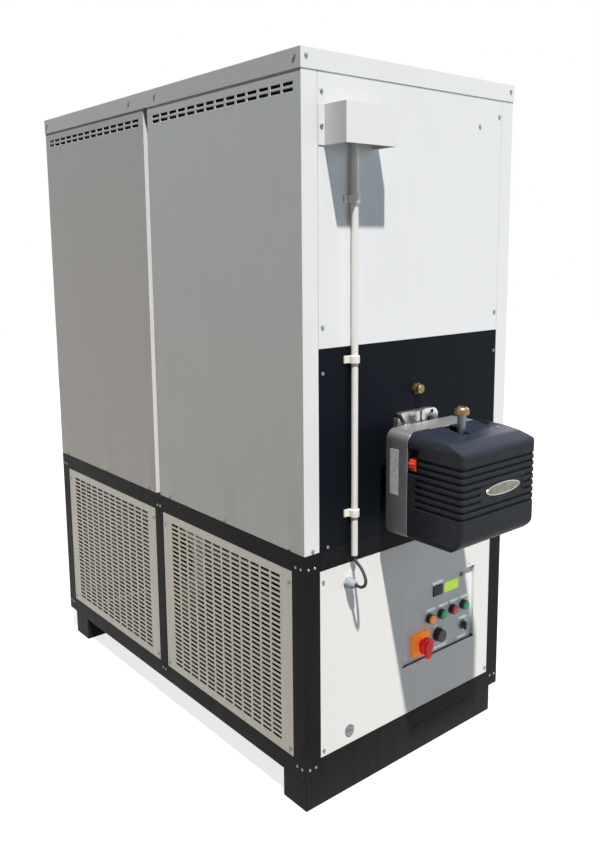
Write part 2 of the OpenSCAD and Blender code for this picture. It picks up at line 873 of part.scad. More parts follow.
module burner_plate() {
  color("#1c2127") placed() difference() {
    block([-inner_w / 2, 0, z_case], [inner_w, ch_y0 - e, plate_h]);
    facing_front(bx, ch_y0 + 1, blast_z) cylinder(d = blast_d + 4, h = 6);
    facing_front(sight_x, ch_y0 + 1, sight_z) cylinder(d = sight_bore, h = 6);
  }
}

module rear_panels() {
  color("#dfe0e0") placed() {
    block([-inner_w / 2, cab_d - sheet, z_case], [inner_w, sheet, plate_h]);
    difference() {
      block([-inner_w / 2, cab_d - sheet, z_plate + panel_gap],
        [inner_w, sheet, z_panel - z_plate - panel_gap]);
      facing_rear(0, cab_d - sheet - 1, flue_z)
        cylinder(d = flue_d + flue_collar + 2, h = sheet + 2);
    }
  }
}

module lid() {
  w = cab_w + 2 * lid_over;
  d = cab_d + 2 * lid_over;
  rim = min(sheet, lid_over - seat_gap);
  color("#ececec") placed() difference() {
    block([-w / 2, -lid_over, z_lid], [w, d, lid_h]);
    block([-w / 2 + rim, -lid_over + rim, z_lid - e],
      [w - 2 * rim, d - 2 * rim, lid_h - lid_sheet + e]);
    block([-outlet_w / 2, mid_y - outlet_d / 2, z_top - 2 * lid_sheet],
      [outlet_w, outlet_d, 4 * lid_sheet]);
    for (x = [-1, 1], y = [-1, 1])
      translate([x * outlet_bolt_x / 2, mid_y + y * outlet_bolt_y / 2, z_top - 2 * lid_sheet])
        cylinder(d = outlet_bolt_d, h = 4 * lid_sheet);
  }
}

// Screw heads on the left side: x of the face, then y and z
module left_screws() {
  for (y = [19, mid_y - 60, mid_y + 88, cab_d - 19]) side_screw(-hw - lid_over, y, z_lid + 28);
  for (y = [55, 335, mid_y - 69, mid_y + 51, 1021, cab_d - 54]) side_screw(-hw, y, z_case + 9);
  for (c = cell_y, y = [-1, 1], z = [z_open + 17, z_rail - 33])
    side_screw(-hw + face_out, c + y * (cell_d / 2 - 12), z);
  for (y = [15, 35, mid_y - 8, mid_y + 8, cab_d - 35, cab_d - 15], z = [z_rail + 14, skid_h + 32])
    facing_left(-hw, y, z) frame_screw();
}

// One screw head on a left face
module side_screw(x, y, z) { facing_left(x, y, z) screw_head(); }

// One rivet head on the lower front panel
module rivet_head(x, z) { facing_front(x, face_out, z) cylinder(d1 = 5, d2 = 3, h = 0.9); }

// Screw heads on the front, or mirrored on the rear
module front_screws() {
  for (x = [-1, 1]) {
    facing_front(x * (hw - 14), -lid_over, z_lid + 28) screw_head();
    facing_front(x * (hw - 26), 0, z_case + 8) screw_head();
    for (z = [z_plate + 53, z_lid - 43]) facing_front(x * (inner_w / 2 - 11), 0, z) screw_head();
    facing_front(x * (inner_w / 2 - 11), 0, z_plate - 58) screw_head();
    facing_front(x * (inner_w / 2 - 25), 0, z_case + 8) screw_head();
    for (z = [z_open + 18, z_rail - 29])
      facing_front(x * (hw - tube - 10), face_out, z) screw_head();
    for (dx = [13, 33], z = [z_rail + 14, skid_h + 32])
      facing_front(x * (hw - dx), 0, z) frame_screw();
  }
}

module panel_screws() {
  color("#b4b7ba") placed() {
    left_screws();
    mirror([1, 0, 0]) left_screws();
    front_screws();
    translate([0, cab_d, 0]) mirror([0, 1, 0]) front_screws();
    facing_front(cover_x0 - 9, -sheet, cover_z0 + 43) screw_head();
    facing_front(cover_x1 + 9, -sheet, cover_z0 + 43) screw_head();
    facing_front(241, 0, z_lid - 75) screw_head();
    for (x = [-132, -3, 126]) rivet_head(pan_cx + x, pan_z0 + pan_h + 11);
    for (x = [-141, 3, 133]) rivet_head(pan_cx + x, pan_z0 - 14);
    flange_fasteners();
  }
}

module deck_plate() {
  y0 = sheet + post + deck_gap;
  color("#8f9295") placed() difference() {
    block([-hw + sheet, y0, z_case], [cab_w - 2 * sheet, cab_d - 2 * y0, deck_t]);
    for (s = [0, 1]) mirror([s, 0, 0])
      block([-hw + joint_depth - 3, mid_y - strip_w / 2 - 1, z_case - 1],
        [post + strip_t + 5, strip_w + 2, deck_t + 2]);
    for (s = [0, 1]) mirror([s, 0, 0])
      block([-hw, mid_y - side_joint / 2 - sheet - 1, z_case - 1],
        [joint_depth, side_joint + 2 * sheet + 2, deck_t + 2]);
    block([-scroll_w / 2 + scroll_t, bl_y - scroll_r + scroll_t, z_case - 1],
      [scroll_w - 2 * scroll_t, outlet_y1 - bl_y + scroll_r - 2 * scroll_t, deck_t + 2]);
  }
}

// ---------------------------------------------------------------- heat exchanger

module combustion_chamber() {
  foot_y = [180, 600, 995];
  color("#7d7468") placed() difference() {
    union() {
      facing_rear(bx, ch_y0, blast_z) cylinder(r = chamber_r, h = chamber_len, $fn = 96);
      for (y = foot_y) block([bx - 100, y, z_case + deck_t], [200, 40, blast_z - z_case - 160]);
    }
    facing_rear(bx, ch_y0 + chamber_wall, blast_z)
      cylinder(r = chamber_r - chamber_wall, h = chamber_len - 2 * chamber_wall, $fn = 96);
    facing_rear(bx, ch_y0 - 1, blast_z) cylinder(d = blast_d + 4, h = chamber_wall + 2);
    facing_rear(sight_x, ch_y0 - 1, sight_z) cylinder(d = sight_bore, h = chamber_wall + 2);
    block([bx - neck_w / 2 + 10, header_y[0] + 8, blast_z + 100],
      [neck_w - 20, header_y[1] - header_y[0] - 16, 120]);
  }
}

// The places of the exchanger tubes, in X and Z
function tube_places() = [for (i = [0:ex_cols - 1], j = [0:ex_rows - 1])
  [bx + (i - (ex_cols - 1) / 2) * ex_pitch, ex_z0 + j * ex_row]];

module exchanger_tubes() {
  color("#7d7468") placed() for (p = tube_places())
    facing_rear(p[0], header_y[1], p[1])
      ring(ex_tube_d, ex_tube_d - 2 * ex_wall, collector_y[0] - header_y[1]);
}

// A closed box with one wall drilled for the tubes
module smoke_box(y, z0, wall_y) {
  difference() {
    block([bx - box_w / 2, y[0], z0], [box_w, y[1] - y[0], box_z1 - z0]);
    block([bx - box_w / 2 + box_t, y[0] + box_t, z0 + box_t],
      [box_w - 2 * box_t, y[1] - y[0] - 2 * box_t, box_z1 - z0 - 2 * box_t]);
    for (p = tube_places())
      facing_rear(p[0], wall_y - box_t - 1, p[1]) cylinder(d = ex_tube_d - 2 * ex_wall, h = 2 * box_t + 2);
  }
}

module smoke_boxes() {
  neck_z = blast_z + 120;
  flue_inside = flue_d - 2 * flue_wall;
  color("#7d7468") placed() {
    difference() {
      union() {
        smoke_box(header_y, box_z0, header_y[1]);
        block([bx - neck_w / 2, header_y[0], neck_z],
          [neck_w, header_y[1] - header_y[0], box_z0 - neck_z]);
      }
      block([bx - neck_w / 2 + neck_wall, header_y[0] + neck_wall, neck_z - 1],
        [neck_w - 2 * neck_wall, header_y[1] - header_y[0] - 2 * neck_wall, box_z0 - neck_z + 10]);
      facing_rear(bx, 0, blast_z) cylinder(r = chamber_r, h = 400, $fn = 96);
    }
    difference() {
      smoke_box(collector_y, box_z0, collector_y[0]);
      facing_rear(0, collector_y[1] - box_t - 1, flue_z) cylinder(d = flue_inside, h = 20);
    }
    facing_rear(0, collector_y[1] + seat_gap, flue_z) {
      ring(flue_d, flue_inside, cab_d + flue_out - collector_y[1] - seat_gap);
      ring(flue_d + flue_collar, flue_d - e, cab_d - collector_y[1] - seat_gap);
    }
  }
}

module sight_glass() {
  color("#b98d55") placed() facing_front(sight_x, 0, sight_z) {
    translate([0, 0, -12]) cylinder(d = sight_bore - 1, h = 12 + e);
    cylinder(d = 30, h = 9, $fn = 6);
    translate([0, 0, 9]) cylinder(d = 24, h = 12);
    translate([0, 0, 21]) cylinder(d1 = 24, d2 = 18, h = 3);
  }
}

// ---------------------------------------------------------------- blower

// The scroll's side outline about the wheel's axis, drawn in by a wall
module scroll_outline(wall) {
  rise = z_case - bl_z;
  circle(r = scroll_r - wall, $fn = 96);
  translate([-scroll_r + wall, 0])
    square([outlet_y1 - bl_y + scroll_r - 2 * wall, rise]);
}

// Turns a flat outline drawn in Y and Z to stand across the cabinet, from x
module across(x, h) { translate([x, bl_y, bl_z]) rotate([90, 0, 90]) linear_extrude(h) children(); }

module blower_housing() {
  inlet_r = wheel_d / 2 - 18;
  foot_h = bl_z - z_open;
  color("#9a9da0") placed() {
    across(-scroll_w / 2, scroll_w) difference() {
      scroll_outline(0);
      scroll_outline(scroll_t);
      translate([-scroll_r + scroll_t, 0])
        square([outlet_y1 - bl_y + scroll_r - 2 * scroll_t, z_case]);
    }
    for (s = [0, 1]) mirror([s, 0, 0]) {
      across(scroll_w / 2, 3) difference() {
        union() {
          scroll_outline(0);
          translate([-180, -foot_h]) square([360, foot_h - 60]);
        }
        circle(r = inlet_r);
      }
      translate([scroll_w / 2, bl_y, bl_z]) rotate([0, 90, 0]) difference() {
        union() {
          cylinder(d = bearing_d, h = 26);
          for (a = [45:90:315]) rotate(a) translate([0, -8, 0]) cube([inlet_r + 12, 16, 3 + 4]);
        }
        translate([0, 0, -1]) cylinder(d = shaft_d + 2 * run_gap, h = 30);
        difference() {
          translate([0, 0, -1]) cylinder(r = 2 * inlet_r, h = 4);
          translate([0, 0, -2]) cylinder(r = inlet_r, h = 6);
        }
      }
    }
  }
}

module blower_wheel() {
  blades = 24;
  color("#b4b7ba") placed() translate([0, bl_y, bl_z]) rotate([0, 90, 0]) {
    difference() {
      union() {
        translate([0, 0, -2]) cylinder(d = wheel_d, h = 4);
        translate([0, 0, -20]) cylinder(d = 60, h = 40);
      }
      translate([0, 0, -21]) cylinder(d = shaft_d, h = 42);
    }
    for (s = [-1, 1]) translate([0, 0, s * (wheel_w / 2 - 2) - 2]) ring(wheel_d, wheel_d - 60, 4);
    for (i = [0:blades - 1], s = [0, 1]) rotate(i * 360 / blades)
      translate([wheel_d / 2 - 27, -1, s == 0 ? 2 : -wheel_w / 2 + 4])
        rotate(20) cube([22, 2, wheel_w / 2 - 6]);
  }
}

// A pulley with a square groove for the belt, its middle at z = 0
module pulley(pitch_d, bore) {
  groove_r = pitch_d / 2 - belt_t / 2 - seat_gap;
  rotate_extrude($fn = 96) difference() {
    translate([bore / 2, -12]) square([pitch_d / 2 + 6 - bore / 2, 24]);
    translate([groove_r, -belt_w / 2 - 0.4]) square([40, belt_w + 0.8]);
  }
}

module blower_shaft() {
  color("#8f9295") placed() {
    translate([-scroll_w / 2 - 30, bl_y, bl_z]) rotate([0, 90, 0])
      cylinder(d = shaft_d, h = pulley_x + 16 + scroll_w / 2 + 30);
    translate([pulley_x, bl_y, bl_z]) rotate([0, 90, 0]) pulley(big_pulley_d, shaft_d);
  }
}

module fan_motor() {
  feet_w = 150;
  x1 = motor_x0 + motor_len;
  color("#5a6068") placed() {
    difference() {
      union() {
        translate([motor_x0, motor_y, motor_z]) rotate([0, 90, 0]) cylinder(d = motor_d, h = motor_len);
        for (a = [30:30:150]) translate([motor_x0 + 20, motor_y, motor_z]) rotate([a - 90, 0, 0])
          translate([0, -2, 0]) cube([motor_len - 60, 4, motor_d / 2 + 6]);
        block([motor_x0 + 40, motor_y - feet_w / 2, z_open + 8], [130, feet_w, 12]);
        block([motor_x0 + 40, motor_y - 55, z_open + 8], [130, 110, 30]);
        block([motor_x0 + 70, motor_y - 45, motor_z + 40], [90, 90, 60]);
      }
      translate([motor_x0 + 40, motor_y, motor_z]) rotate([0, 90, 0])
        cylinder(d = motor_shaft_d + 2 * run_gap, h = motor_len);
    }
    block([motor_x0 + 20, motor_cross[0] - 10, z_open], [170, motor_cross[1] - motor_cross[0] + 20, 8]);
  }
}

module motor_pulley() {
  color("#4a4c50") placed() translate([pulley_x, motor_y, motor_z]) rotate([0, 90, 0]) {
    pulley(small_pulley_d, motor_shaft_d - 0.2);
    x0 = motor_x0 + 42 - pulley_x;
    translate([0, 0, x0]) cylinder(d = motor_shaft_d, h = 14 - x0);
  }
}

// Points round both pulleys, from the blower's axis along +X to the motor's
function belt_points(r1, r2) = let (a = acos((r1 - r2) / belt_span)) concat(
  [for (k = [0:belt_steps]) let (t = a + k * (360 - 2 * a) / belt_steps) [r1 * cos(t), r1 * sin(t)]],
  [for (k = [0:belt_steps]) let (t = -a + k * 2 * a / belt_steps)
    [belt_span + r2 * cos(t), r2 * sin(t)]]);

module drive_belt() {
  r1 = big_pulley_d / 2;
  r2 = small_pulley_d / 2;
  h = belt_t / 2;
  outer = belt_points(r1 + h, r2 + h);
  inner = belt_points(r1 - h, r2 - h);
  n = len(outer);
  color("#1e1e20") placed() translate([pulley_x - belt_w / 2, bl_y, bl_z])
    rotate([90, 0, 90]) rotate(180 + belt_angle) linear_extrude(belt_w)
      polygon(concat(outer, inner), [[for (i = [0:n - 1]) i], [for (i = [0:n - 1]) n + i]]);
}

// ---------------------------------------------------------------- burner

module burner_flange() {
  boss_d = blast_d + 34;
  ear_z = clamp_z - 18;
  color("#b5b6b8") placed() difference() {
    union() {
      facing_front(bx + flange_off, 0, flange_z)
        linear_extrude(flange_t) rounded(flange_pw, flange_ph, 22);
      facing_front(bx, 0, blast_z) cylinder(d = boss_d, h = flange_t + flange_boss);
      for (x = [-17, 4]) block([bx + x, -flange_t - ear_out, ear_z], [13, ear_out + e, 36]);
    }
    facing_front(bx, 1, blast_z) cylinder(d = blast_d + 0.4, h = 60);
    for (x = [-1, 1], z = [-1, 1])
      facing_front(bx + x * stud_x, 1, blast_z + z * stud_z) rotate(-x * z * 35)
        linear_extrude(flange_t + 2) rounded(12, 34, 5.9);
    block([bx - 2, -60, blast_z], [4, 61, 200]);
    facing_right(bx - 40, clamp_y, clamp_z) cylinder(d = 8.5, h = 80);
  }
}

// The flange's studs with their nuts, and the clamp bolt through its ears
module flange_fasteners() {
  for (p = [[1, 1], [-1, -1], [1, -1]]) facing_front(bx + p[0] * stud_x, 0, blast_z + p[1] * stud_z) {
    cylinder(d = 7.8, h = flange_t + 13);
    translate([0, 0, flange_t]) cylinder(d = 18, h = 1.6);
    translate([0, 0, flange_t + 1.6]) cylinder(d = 15, h = 6.5, $fn = 6);
  }
  facing_right(bx - 25, clamp_y, clamp_z) {
    cylinder(d = 15, h = 7.9, $fn = 6);
    cylinder(d = 8, h = 50);
    translate([0, 0, 42.1]) cylinder(d = 15, h = 6.5, $fn = 6);
  }
}

// A front view of the burner from z0 to z1, drawn in by a wall, round at its top and its foot, with
// its own radius at the foot's right corner, and wider on the right by an amount
module housing_outline(z0, z1, wall, top_r, low_r, low_right_r, right = 0) {
  w = burner_w / 2 - wall;
  r = w + right;
  low = z0 + wall;
  top = z1 - wall;
  translate([bx, 0]) {
    polygon([[-w + low_r, low], [r - low_right_r, low], [r - low_right_r, low + low_right_r],
      [r, low + low_right_r],
      [r, top - top_r], [r - top_r, top - top_r], [r - top_r, top], [-w + top_r, top],
      [-w + top_r, top - top_r], [-w, top - top_r], [-w, low + low_r], [-w + low_r, low + low_r]]);
    translate([-w + low_r, low + low_r]) circle(low_r);
    translate([r - low_right_r, low + low_right_r]) circle(low_right_r);
    for (x = [-w + top_r, r - top_r]) translate([x, top - top_r]) circle(top_r);
  }
}

module burner_casting() {
  collar = burner_gap - flange_t - flange_boss - seat_gap;
  color("#8c8d8f") placed() difference() {
    union() {
      facing_front(0, b_y0, 0) linear_extrude(casting_d)
        housing_outline(b_z0, b_z1, 0, casting_r, casting_low_r, casting_low_r);
      facing_front(bx, b_y0 + collar, blast_z) cylinder(d = blast_d + 52, h = collar + e, $fn = 96);
    }
    facing_front(0, b_y0 - casting_wall, 0)
      linear_extrude(casting_d) housing_outline(b_z0, b_z1, casting_wall, casting_r - casting_wall,
        casting_low_r - casting_wall, casting_low_r - casting_wall);
    facing_front(bx, b_y0 + collar + 1, blast_z) cylinder(d = blast_d + 0.4, h = collar + 1);
    facing_front(bx, b_y0 + 1, blast_z) cylinder(d = blast_d - 2 * blast_wall, h = 20);
  }
}

// The burner cover's plan, with its two front corners round, drawn in by an inset
module cover_plan(inset, y0) {
  w = burner_w / 2 - inset;
  x1 = w + cover_right;
  y2 = b_y2 + inset;
  r = cover_corner_r;
  translate([bx, 0]) {
    polygon([[-w, y0], [-w, y2 + r], [-w + r, y2 + r], [-w + r, y2], [x1 - r, y2],
      [x1 - r, y2 + r], [x1, y2 + r], [x1, y0]]);
    for (x = [-w + r, x1 - r]) translate([x, y2 + r]) circle(r);
  }
}

// The burner cover's outer form, drawn in by a wall
module cover_form(wall) {
  top = b_z1 + cover_over - wall;
  low = b_z0 + wall;
  chin = cover_chin_r - wall;
  y0 = b_y1 - cover_gap + (wall > 0 ? 1 : 0);
  y2 = b_y2 + wall;
  intersection() {
    facing_front(0, y0, 0) linear_extrude(y0 - y2)
      housing_outline(b_z0, b_z1 + cover_over, wall, cover_r - wall, casting_low_r - wall,
        cover_low_r - wall, cover_right);
    translate([0, 0, low]) linear_extrude(top - low) cover_plan(wall, y0);
    translate([bx - burner_w, 0, 0]) rotate([90, 0, 90]) linear_extrude(2 * burner_w)
      polygon(concat([[y0, low]],
        [for (a = [0:chin_step:90]) [y2 + chin * (1 - sin(a)), low + chin * (1 - cos(a))]],
        [[y2, top - 34], [y2 + 4, top - 28], [y2 + 10, top - 24], [y2 + 45, top - 12],
          [y2 + 90, top - 3], [y0, top]]));
  }
}

// The scoop in the cover's top, open to the rear and grown by a wall
module cover_valley(wall) {
  y0 = b_y1 + 2;
  top = b_z1 + cover_over;
  intersection() {
    translate([0, 0, b_z0]) linear_extrude(2 * burner_h) offset(wall)
      polygon([[bx - 60, y0], [bx - 70, y0 - 69], [bx - 72, y0 - 125], [bx - 28, y0 - 101],
        [bx + 24, y0 - 79], [bx + 72, y0 - 65], [bx + 114, y0 - 56], [bx + 118, y0]]);
    translate([bx - burner_w, 0, -wall]) rotate([90, 0, 90]) linear_extrude(2 * burner_w)
      polygon([[y0 + 4, top - 1], [y0 - 74, top - valley_drop], [y0 - 130, top - 9],
        [y0 - 130, top + 40], [y0 + 4, top + 40]]);
  }
}

module burner_cover() {
  y0 = b_y1 - cover_gap;
  badge_z = groove_z0 + 34;
  color("#34373c") placed() difference() {
    cover_form(0);
    difference() {
      cover_form(cover_wall);
      cover_valley(cover_wall);
    }
    cover_valley(0);
    for (k = [0:cover_grooves - 1]) difference() {
      block([bx - burner_w, b_y2 - 1, groove_z0 + k * groove_pitch - groove_h / 2],
        [2 * burner_w, cover_d - 24, groove_h]);
      translate([0, 0, b_z0]) linear_extrude(burner_h) cover_plan(groove_depth, y0);
      block([bx + 13 - badge_w / 2 - 4, b_y2 - 2, badge_z - 4], [badge_w + 8, 12, badge_h + 8]);
    }
    block([bx + 13 - badge_w / 2, b_y2 - 1, badge_z], [badge_w, 1 + badge_t, badge_h]);
    block([bx - burner_w / 2 - 1, damper_y - 20, damper_z - 21], [damper_in + 20, 60, 62]);
    block([pipe_x - notch_w / 2, pipe_y - notch_w / 2, b_z1 - 40],
      [notch_w, y0 - pipe_y + notch_w / 2 + 1, 60]);
  }
}

module blast_tube() {
  depth = 6;
  color("#6f6a64") placed() {
    facing_rear(bx, b_y0, blast_z) ring(blast_d, blast_d - 2 * blast_wall, blast_len);
    facing_rear(bx, b_y0 + blast_len - 30, blast_z) difference() {
      cylinder(d = blast_d - blast_wall, h = 3);
      for (a = [0:45:315]) rotate(a) translate([14, -3, -1]) cube([28, depth, 5]);
    }
    facing_rear(bx, b_y1 + 6, blast_z) cylinder(d = 10, h = casting_d - 6 + blast_len - 29);
  }
}

module burner_fan() {
  blades = 16;
  y_front = b_y1 + 12;
  color("#b4b7ba") placed() facing_front(bx, y_front + fan_w, fan_z) {
    cylinder(d = fan_d, h = 3);
    cylinder(d = 26, h = fan_w);
    translate([0, 0, fan_w - 3]) ring(fan_d, fan_d - 36, 3);
    for (i = [0:blades - 1]) rotate(i * 360 / blades)
      translate([fan_d / 2 - 17, -1, 3 - e]) rotate(25) cube([15, 2, fan_w - 5]);
    translate([0, 0, fan_w - e]) cylinder(d = fan_shaft_d, h = 40);
  }
}

module burner_motor() {
  y0 = b_y1 + 6;
  color("#3a3d42") placed() difference() {
    union() {
      facing_front(0, y0, 0) linear_extrude(4) housing_outline(b_z0, b_z1,
        casting_wall + 0.3, casting_r - casting_wall, casting_low_r - casting_wall,
        casting_low_r - casting_wall);
      facing_front(bx, y0 - 4 + e, fan_z) cylinder(d = burner_motor_d, h = burner_motor_len);
      block([bx - 100, y0 - 74, b_z0 + 150], [64, 70 + e, 60]);
      block([pipe_x - 24, y0 - 88, b_z0 + 150], [60, 84 + e, 56]);
    }
    facing_front(bx, y0 + 1, fan_z) cylinder(d = fan_shaft_d + 2 * run_gap, h = 60);
    facing_front(damper_x, y0 + 1, damper_z) cylinder(d = damper_shaft + 2 * run_gap, h = 6);
  }
}

module damper_knob() {
  y0 = damper_y + damper_len / 2;
  color("#a8322c") placed() facing_front(damper_x, y0, damper_z) {
    difference() {
      cylinder(d = damper_d, h = damper_len);
      for (a = [0:30:330]) rotate(a)
        translate([damper_d / 2 + 0.5, 0, -1]) cylinder(d = 5, h = damper_len + 2);
    }
    translate([0, 0, y0 - b_y1 - 12]) cylinder(d = damper_shaft, h = 12 - y0 + b_y1 + e);
  }
}

module gas_inlet_pipe() {
  z0 = b_z0 + 206;
  color("#8a8f94") placed() difference() {
    translate([pipe_x, pipe_y, z0]) cylinder(d = pipe_d, h = pipe_top - 4 - z0);
    translate([pipe_x, pipe_y, z0 + 4]) cylinder(d = pipe_d - 6, h = pipe_top);
  }
}

module union_nut() {
  color("#b98d55") placed() translate([pipe_x, pipe_y, pipe_top - nut_h]) difference() {
    union() {
      cylinder(d = nut_d, h = nut_h - 4, $fn = 6);
      translate([0, 0, nut_h - 4]) cylinder(d1 = nut_d - 6, d2 = nut_d - 14, h = 5);
    }
    translate([0, 0, -1]) cylinder(d = pipe_d + 0.1, h = nut_h - 3);
    translate([0, 0, nut_h - 5]) cylinder(d = 15, h = 12);
  }
}

base_posts();
base_rails();
skids();
grille_left_front();
grille_left_rear();
grille_right_front();
grille_right_rear();
lower_front_panel();
lower_rear_panel();
control_pan();
display_module();
reset_button();
lamp_bezels();
lamp_lens_amber();
lamp_lenses_green();
lamp_lens_red();
main_switch_plate();
main_switch_knob();
thermostat_knob();
selector_bezel();
selector_knob();
lock_housing();
lock_barrel();
control_box();
cable_gland();
probe_cable();
conduit_pipe();
conduit_clips();
limit_thermostat();
sensor_cover();
casing_posts();
side_panel_left_front();
side_panel_left_rear();
side_panel_right_front();
side_panel_right_rear();
front_upper_panel();
burner_plate();
rear_panels();
lid();
panel_screws();
deck_plate();
combustion_chamber();
exchanger_tubes();
smoke_boxes();
sight_glass();
blower_housing();
blower_wheel();
blower_shaft();
fan_motor();
motor_pulley();
drive_belt();
burner_flange();
burner_casting();
burner_cover();
blast_tube();
burner_fan();
burner_motor();
damper_knob();
gas_inlet_pipe();
union_nut();
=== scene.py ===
"""Finishes, labels, cable and studio of an upright warm air heater, dressed over its solids."""

import json
import logging
import math
from dataclasses import dataclass, field, replace
from enum import Enum

import bmesh
import bpy
from mathutils import Matrix, Vector

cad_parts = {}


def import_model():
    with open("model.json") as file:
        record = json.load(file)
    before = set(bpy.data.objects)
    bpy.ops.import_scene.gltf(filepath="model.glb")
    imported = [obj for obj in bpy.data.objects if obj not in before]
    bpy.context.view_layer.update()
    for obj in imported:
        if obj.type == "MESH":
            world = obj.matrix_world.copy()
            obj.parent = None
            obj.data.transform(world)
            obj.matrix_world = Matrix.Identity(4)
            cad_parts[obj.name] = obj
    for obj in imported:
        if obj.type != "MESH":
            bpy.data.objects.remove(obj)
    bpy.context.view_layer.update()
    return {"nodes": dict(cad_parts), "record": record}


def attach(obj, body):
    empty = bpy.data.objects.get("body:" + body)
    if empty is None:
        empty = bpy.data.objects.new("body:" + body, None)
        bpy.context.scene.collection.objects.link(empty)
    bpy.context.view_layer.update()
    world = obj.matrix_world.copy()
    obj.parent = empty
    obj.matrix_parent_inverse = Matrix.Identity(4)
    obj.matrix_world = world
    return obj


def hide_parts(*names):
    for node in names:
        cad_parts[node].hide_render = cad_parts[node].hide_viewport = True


LOG = logging.getLogger("warm_air_heater")

Tree = bpy.types.NodeTree
Socket = bpy.types.NodeSocket
Mesh = bmesh.types.BMesh
Inputs = dict[str | int, object]
Point = tuple[float, float, float]

MM = 0.001
"""Metres in a millimetre."""

FRONT_Y = -0.600
"""The cabinet's front plane in the row frame, in metres."""

UNIT = (0.0, 1.0)
"""The range from none to all."""

MIDDLE = (0.3, 0.7)
"""The range that most values of a noise texture lie in."""

CLOUDY = (0.35, 0.7)
"""The range of a noise texture that is spread out into clouds."""

DUSTY = (0.15, 0.45)
"""The range of drift times runs that dust gathers over."""

SCUFFED = (0.45, 0.75)
"""The range of a noise texture that counts as scuffed."""

LEVEL = (0.25, 0.85)
# How far up a face looks, from where its painted top light and shade starts to where it is full.
"""How far up a face looks, from where it starts to catch the sky to where it does fully."""

WAVE_PERIOD = math.tau / 20
"""Metres between the bands of a wave texture whose scale is 1."""


def at(x: float, y: float, z: float) -> Vector:
    """Turns millimetres from the cabinet's front plane into a point of the row frame.

    Args:
        x: Millimetres to the right of the cabinet's middle.
        y: Millimetres behind the front plane.
        z: Millimetres above the floor.

    Returns:
        The point in metres.
    """
    return Vector((x * MM, FRONT_Y + y * MM, z * MM))


def srgb(code: str) -> tuple[float, float, float, float]:
    """Turns an sRGB hex colour into linear values for a shader.

    Args:
        code: A colour such as "#1C2127".

    Returns:
        Red, green, blue and alpha, linear.
    """
    parts = [int(code[i : i + 2], 16) / 255 for i in (1, 3, 5)]
    linear = [c / 12.92 if c <= 0.04045 else ((c + 0.055) / 1.055) ** 2.4 for c in parts]
    return linear[0], linear[1], linear[2], 1.0


def connect(tree: Tree, node: bpy.types.Node, inputs: Inputs) -> None:
    """Fills inputs of a node, linking sockets and setting anything else as the value.

    Args:
        tree: The node's tree.
        node: The node.
        inputs: Sockets and values by the input's name or index.
    """
    for key, value in inputs.items():
        if isinstance(value, Socket):
            tree.links.new(value, node.inputs[key])
        else:
            node.inputs[key].default_value = value


def add_node(
    tree: Tree, kind: str, inputs: Inputs | None = None, **options: object
) -> bpy.types.Node:
    """Adds one shader node with its options, values and incoming links.

    Args:
        tree: The tree that gets the node.
        kind: The node's type, such as "ShaderNodeTexNoise".
        inputs: Sockets and values by the input's name or index.
        options: The node's own settings, such as its operation.

    Returns:
        The new node.
    """
    node = tree.nodes.new(kind)
    for key, value in options.items():
        setattr(node, key, value)
    connect(tree, node, inputs or {})
    return node


def blank_tree(owner: bpy.types.Material | bpy.types.World) -> Tree:
    """Gives a material or world an empty node tree.

    Args:
        owner: The material or world.

    Returns:
        Its tree.
    """
    owner.use_nodes = True
    owner.node_tree.nodes.clear()
    return owner.node_tree


def link_object(name: str, data: bpy.types.ID) -> bpy.types.Object:
    """Makes an object of its data and puts it in the scene.

    Args:
        name: The object's name.
        data: Its mesh, lamp or camera data.

    Returns:
        The new object.
    """
    made = bpy.data.objects.new(name, data)
    bpy.context.scene.collection.objects.link(made)
    return made


def place_on_object(tree: Tree) -> Socket:
    """Gives the place on the object, in metres.

    Args:
        tree: The node tree.

    Returns:
        The coordinates.
    """
    return add_node(tree, "ShaderNodeTexCoord").outputs["Object"]


def axis(tree: Tree, vector: Socket, name: str) -> Socket:
    """Takes one axis out of a vector.

    Args:
        tree: The node tree.
        vector: The vector.
        name: "X", "Y" or "Z".

    Returns:
        The axis's value.
    """
    return add_node(tree, "ShaderNodeSeparateXYZ", {"Vector": vector}).outputs[name]


@dataclass(frozen=True)
class Texture:
    """A noise pattern, by its largest patches and the count and strength of its finer layers."""

    size_mm: float
    detail: float
    roughness: float = 0.5
    stretch: Point | None = None

    def on(self, tree: Tree, where: Socket) -> Socket:
        """Lays the pattern on a surface.

        Args:
            tree: The node tree.
            where: The coordinates.

        Returns:
            The noise, from 0 to 1.
        """
        if self.stretch is not None:
            mapping = {"Vector": where, "Scale": self.stretch}
            where = add_node(tree, "ShaderNodeMapping", mapping).outputs[0]
        inputs = {"Vector": where, "Scale": 1 / (self.size_mm * MM), "Detail": self.detail}
        inputs["Roughness"] = self.roughness
        return add_node(tree, "ShaderNodeTexNoise", inputs).outputs["Fac"]


# A large sheet drifts in tone over about 300 mm where the coat is thicker or thinner.
DRIFT = Texture(300.0, 3.0)
# Rain and wiping leave streaks about 20 mm wide and ten times as tall.
RUNS = Texture(20.0, 4.0, 0.6, stretch=(1.0, 1.0, 0.1))
# Orange peel is 1 to 2 mm in life, too fine to show here, so it is drawn at 5 mm.
ORANGE_PEEL = Texture(5.0, 1.0)
# Handling dulls the gloss of plastic in patches about 25 mm across.
HANDLING = Texture(25.0, 5.0, 0.65)
# Tarnish gathers in clouds about 30 mm across.
TARNISH = Texture(30.0, 6.0, 0.7)
# Foil creases and mottles over about 12 mm.
MOTTLE = Texture(12.0, 5.0)


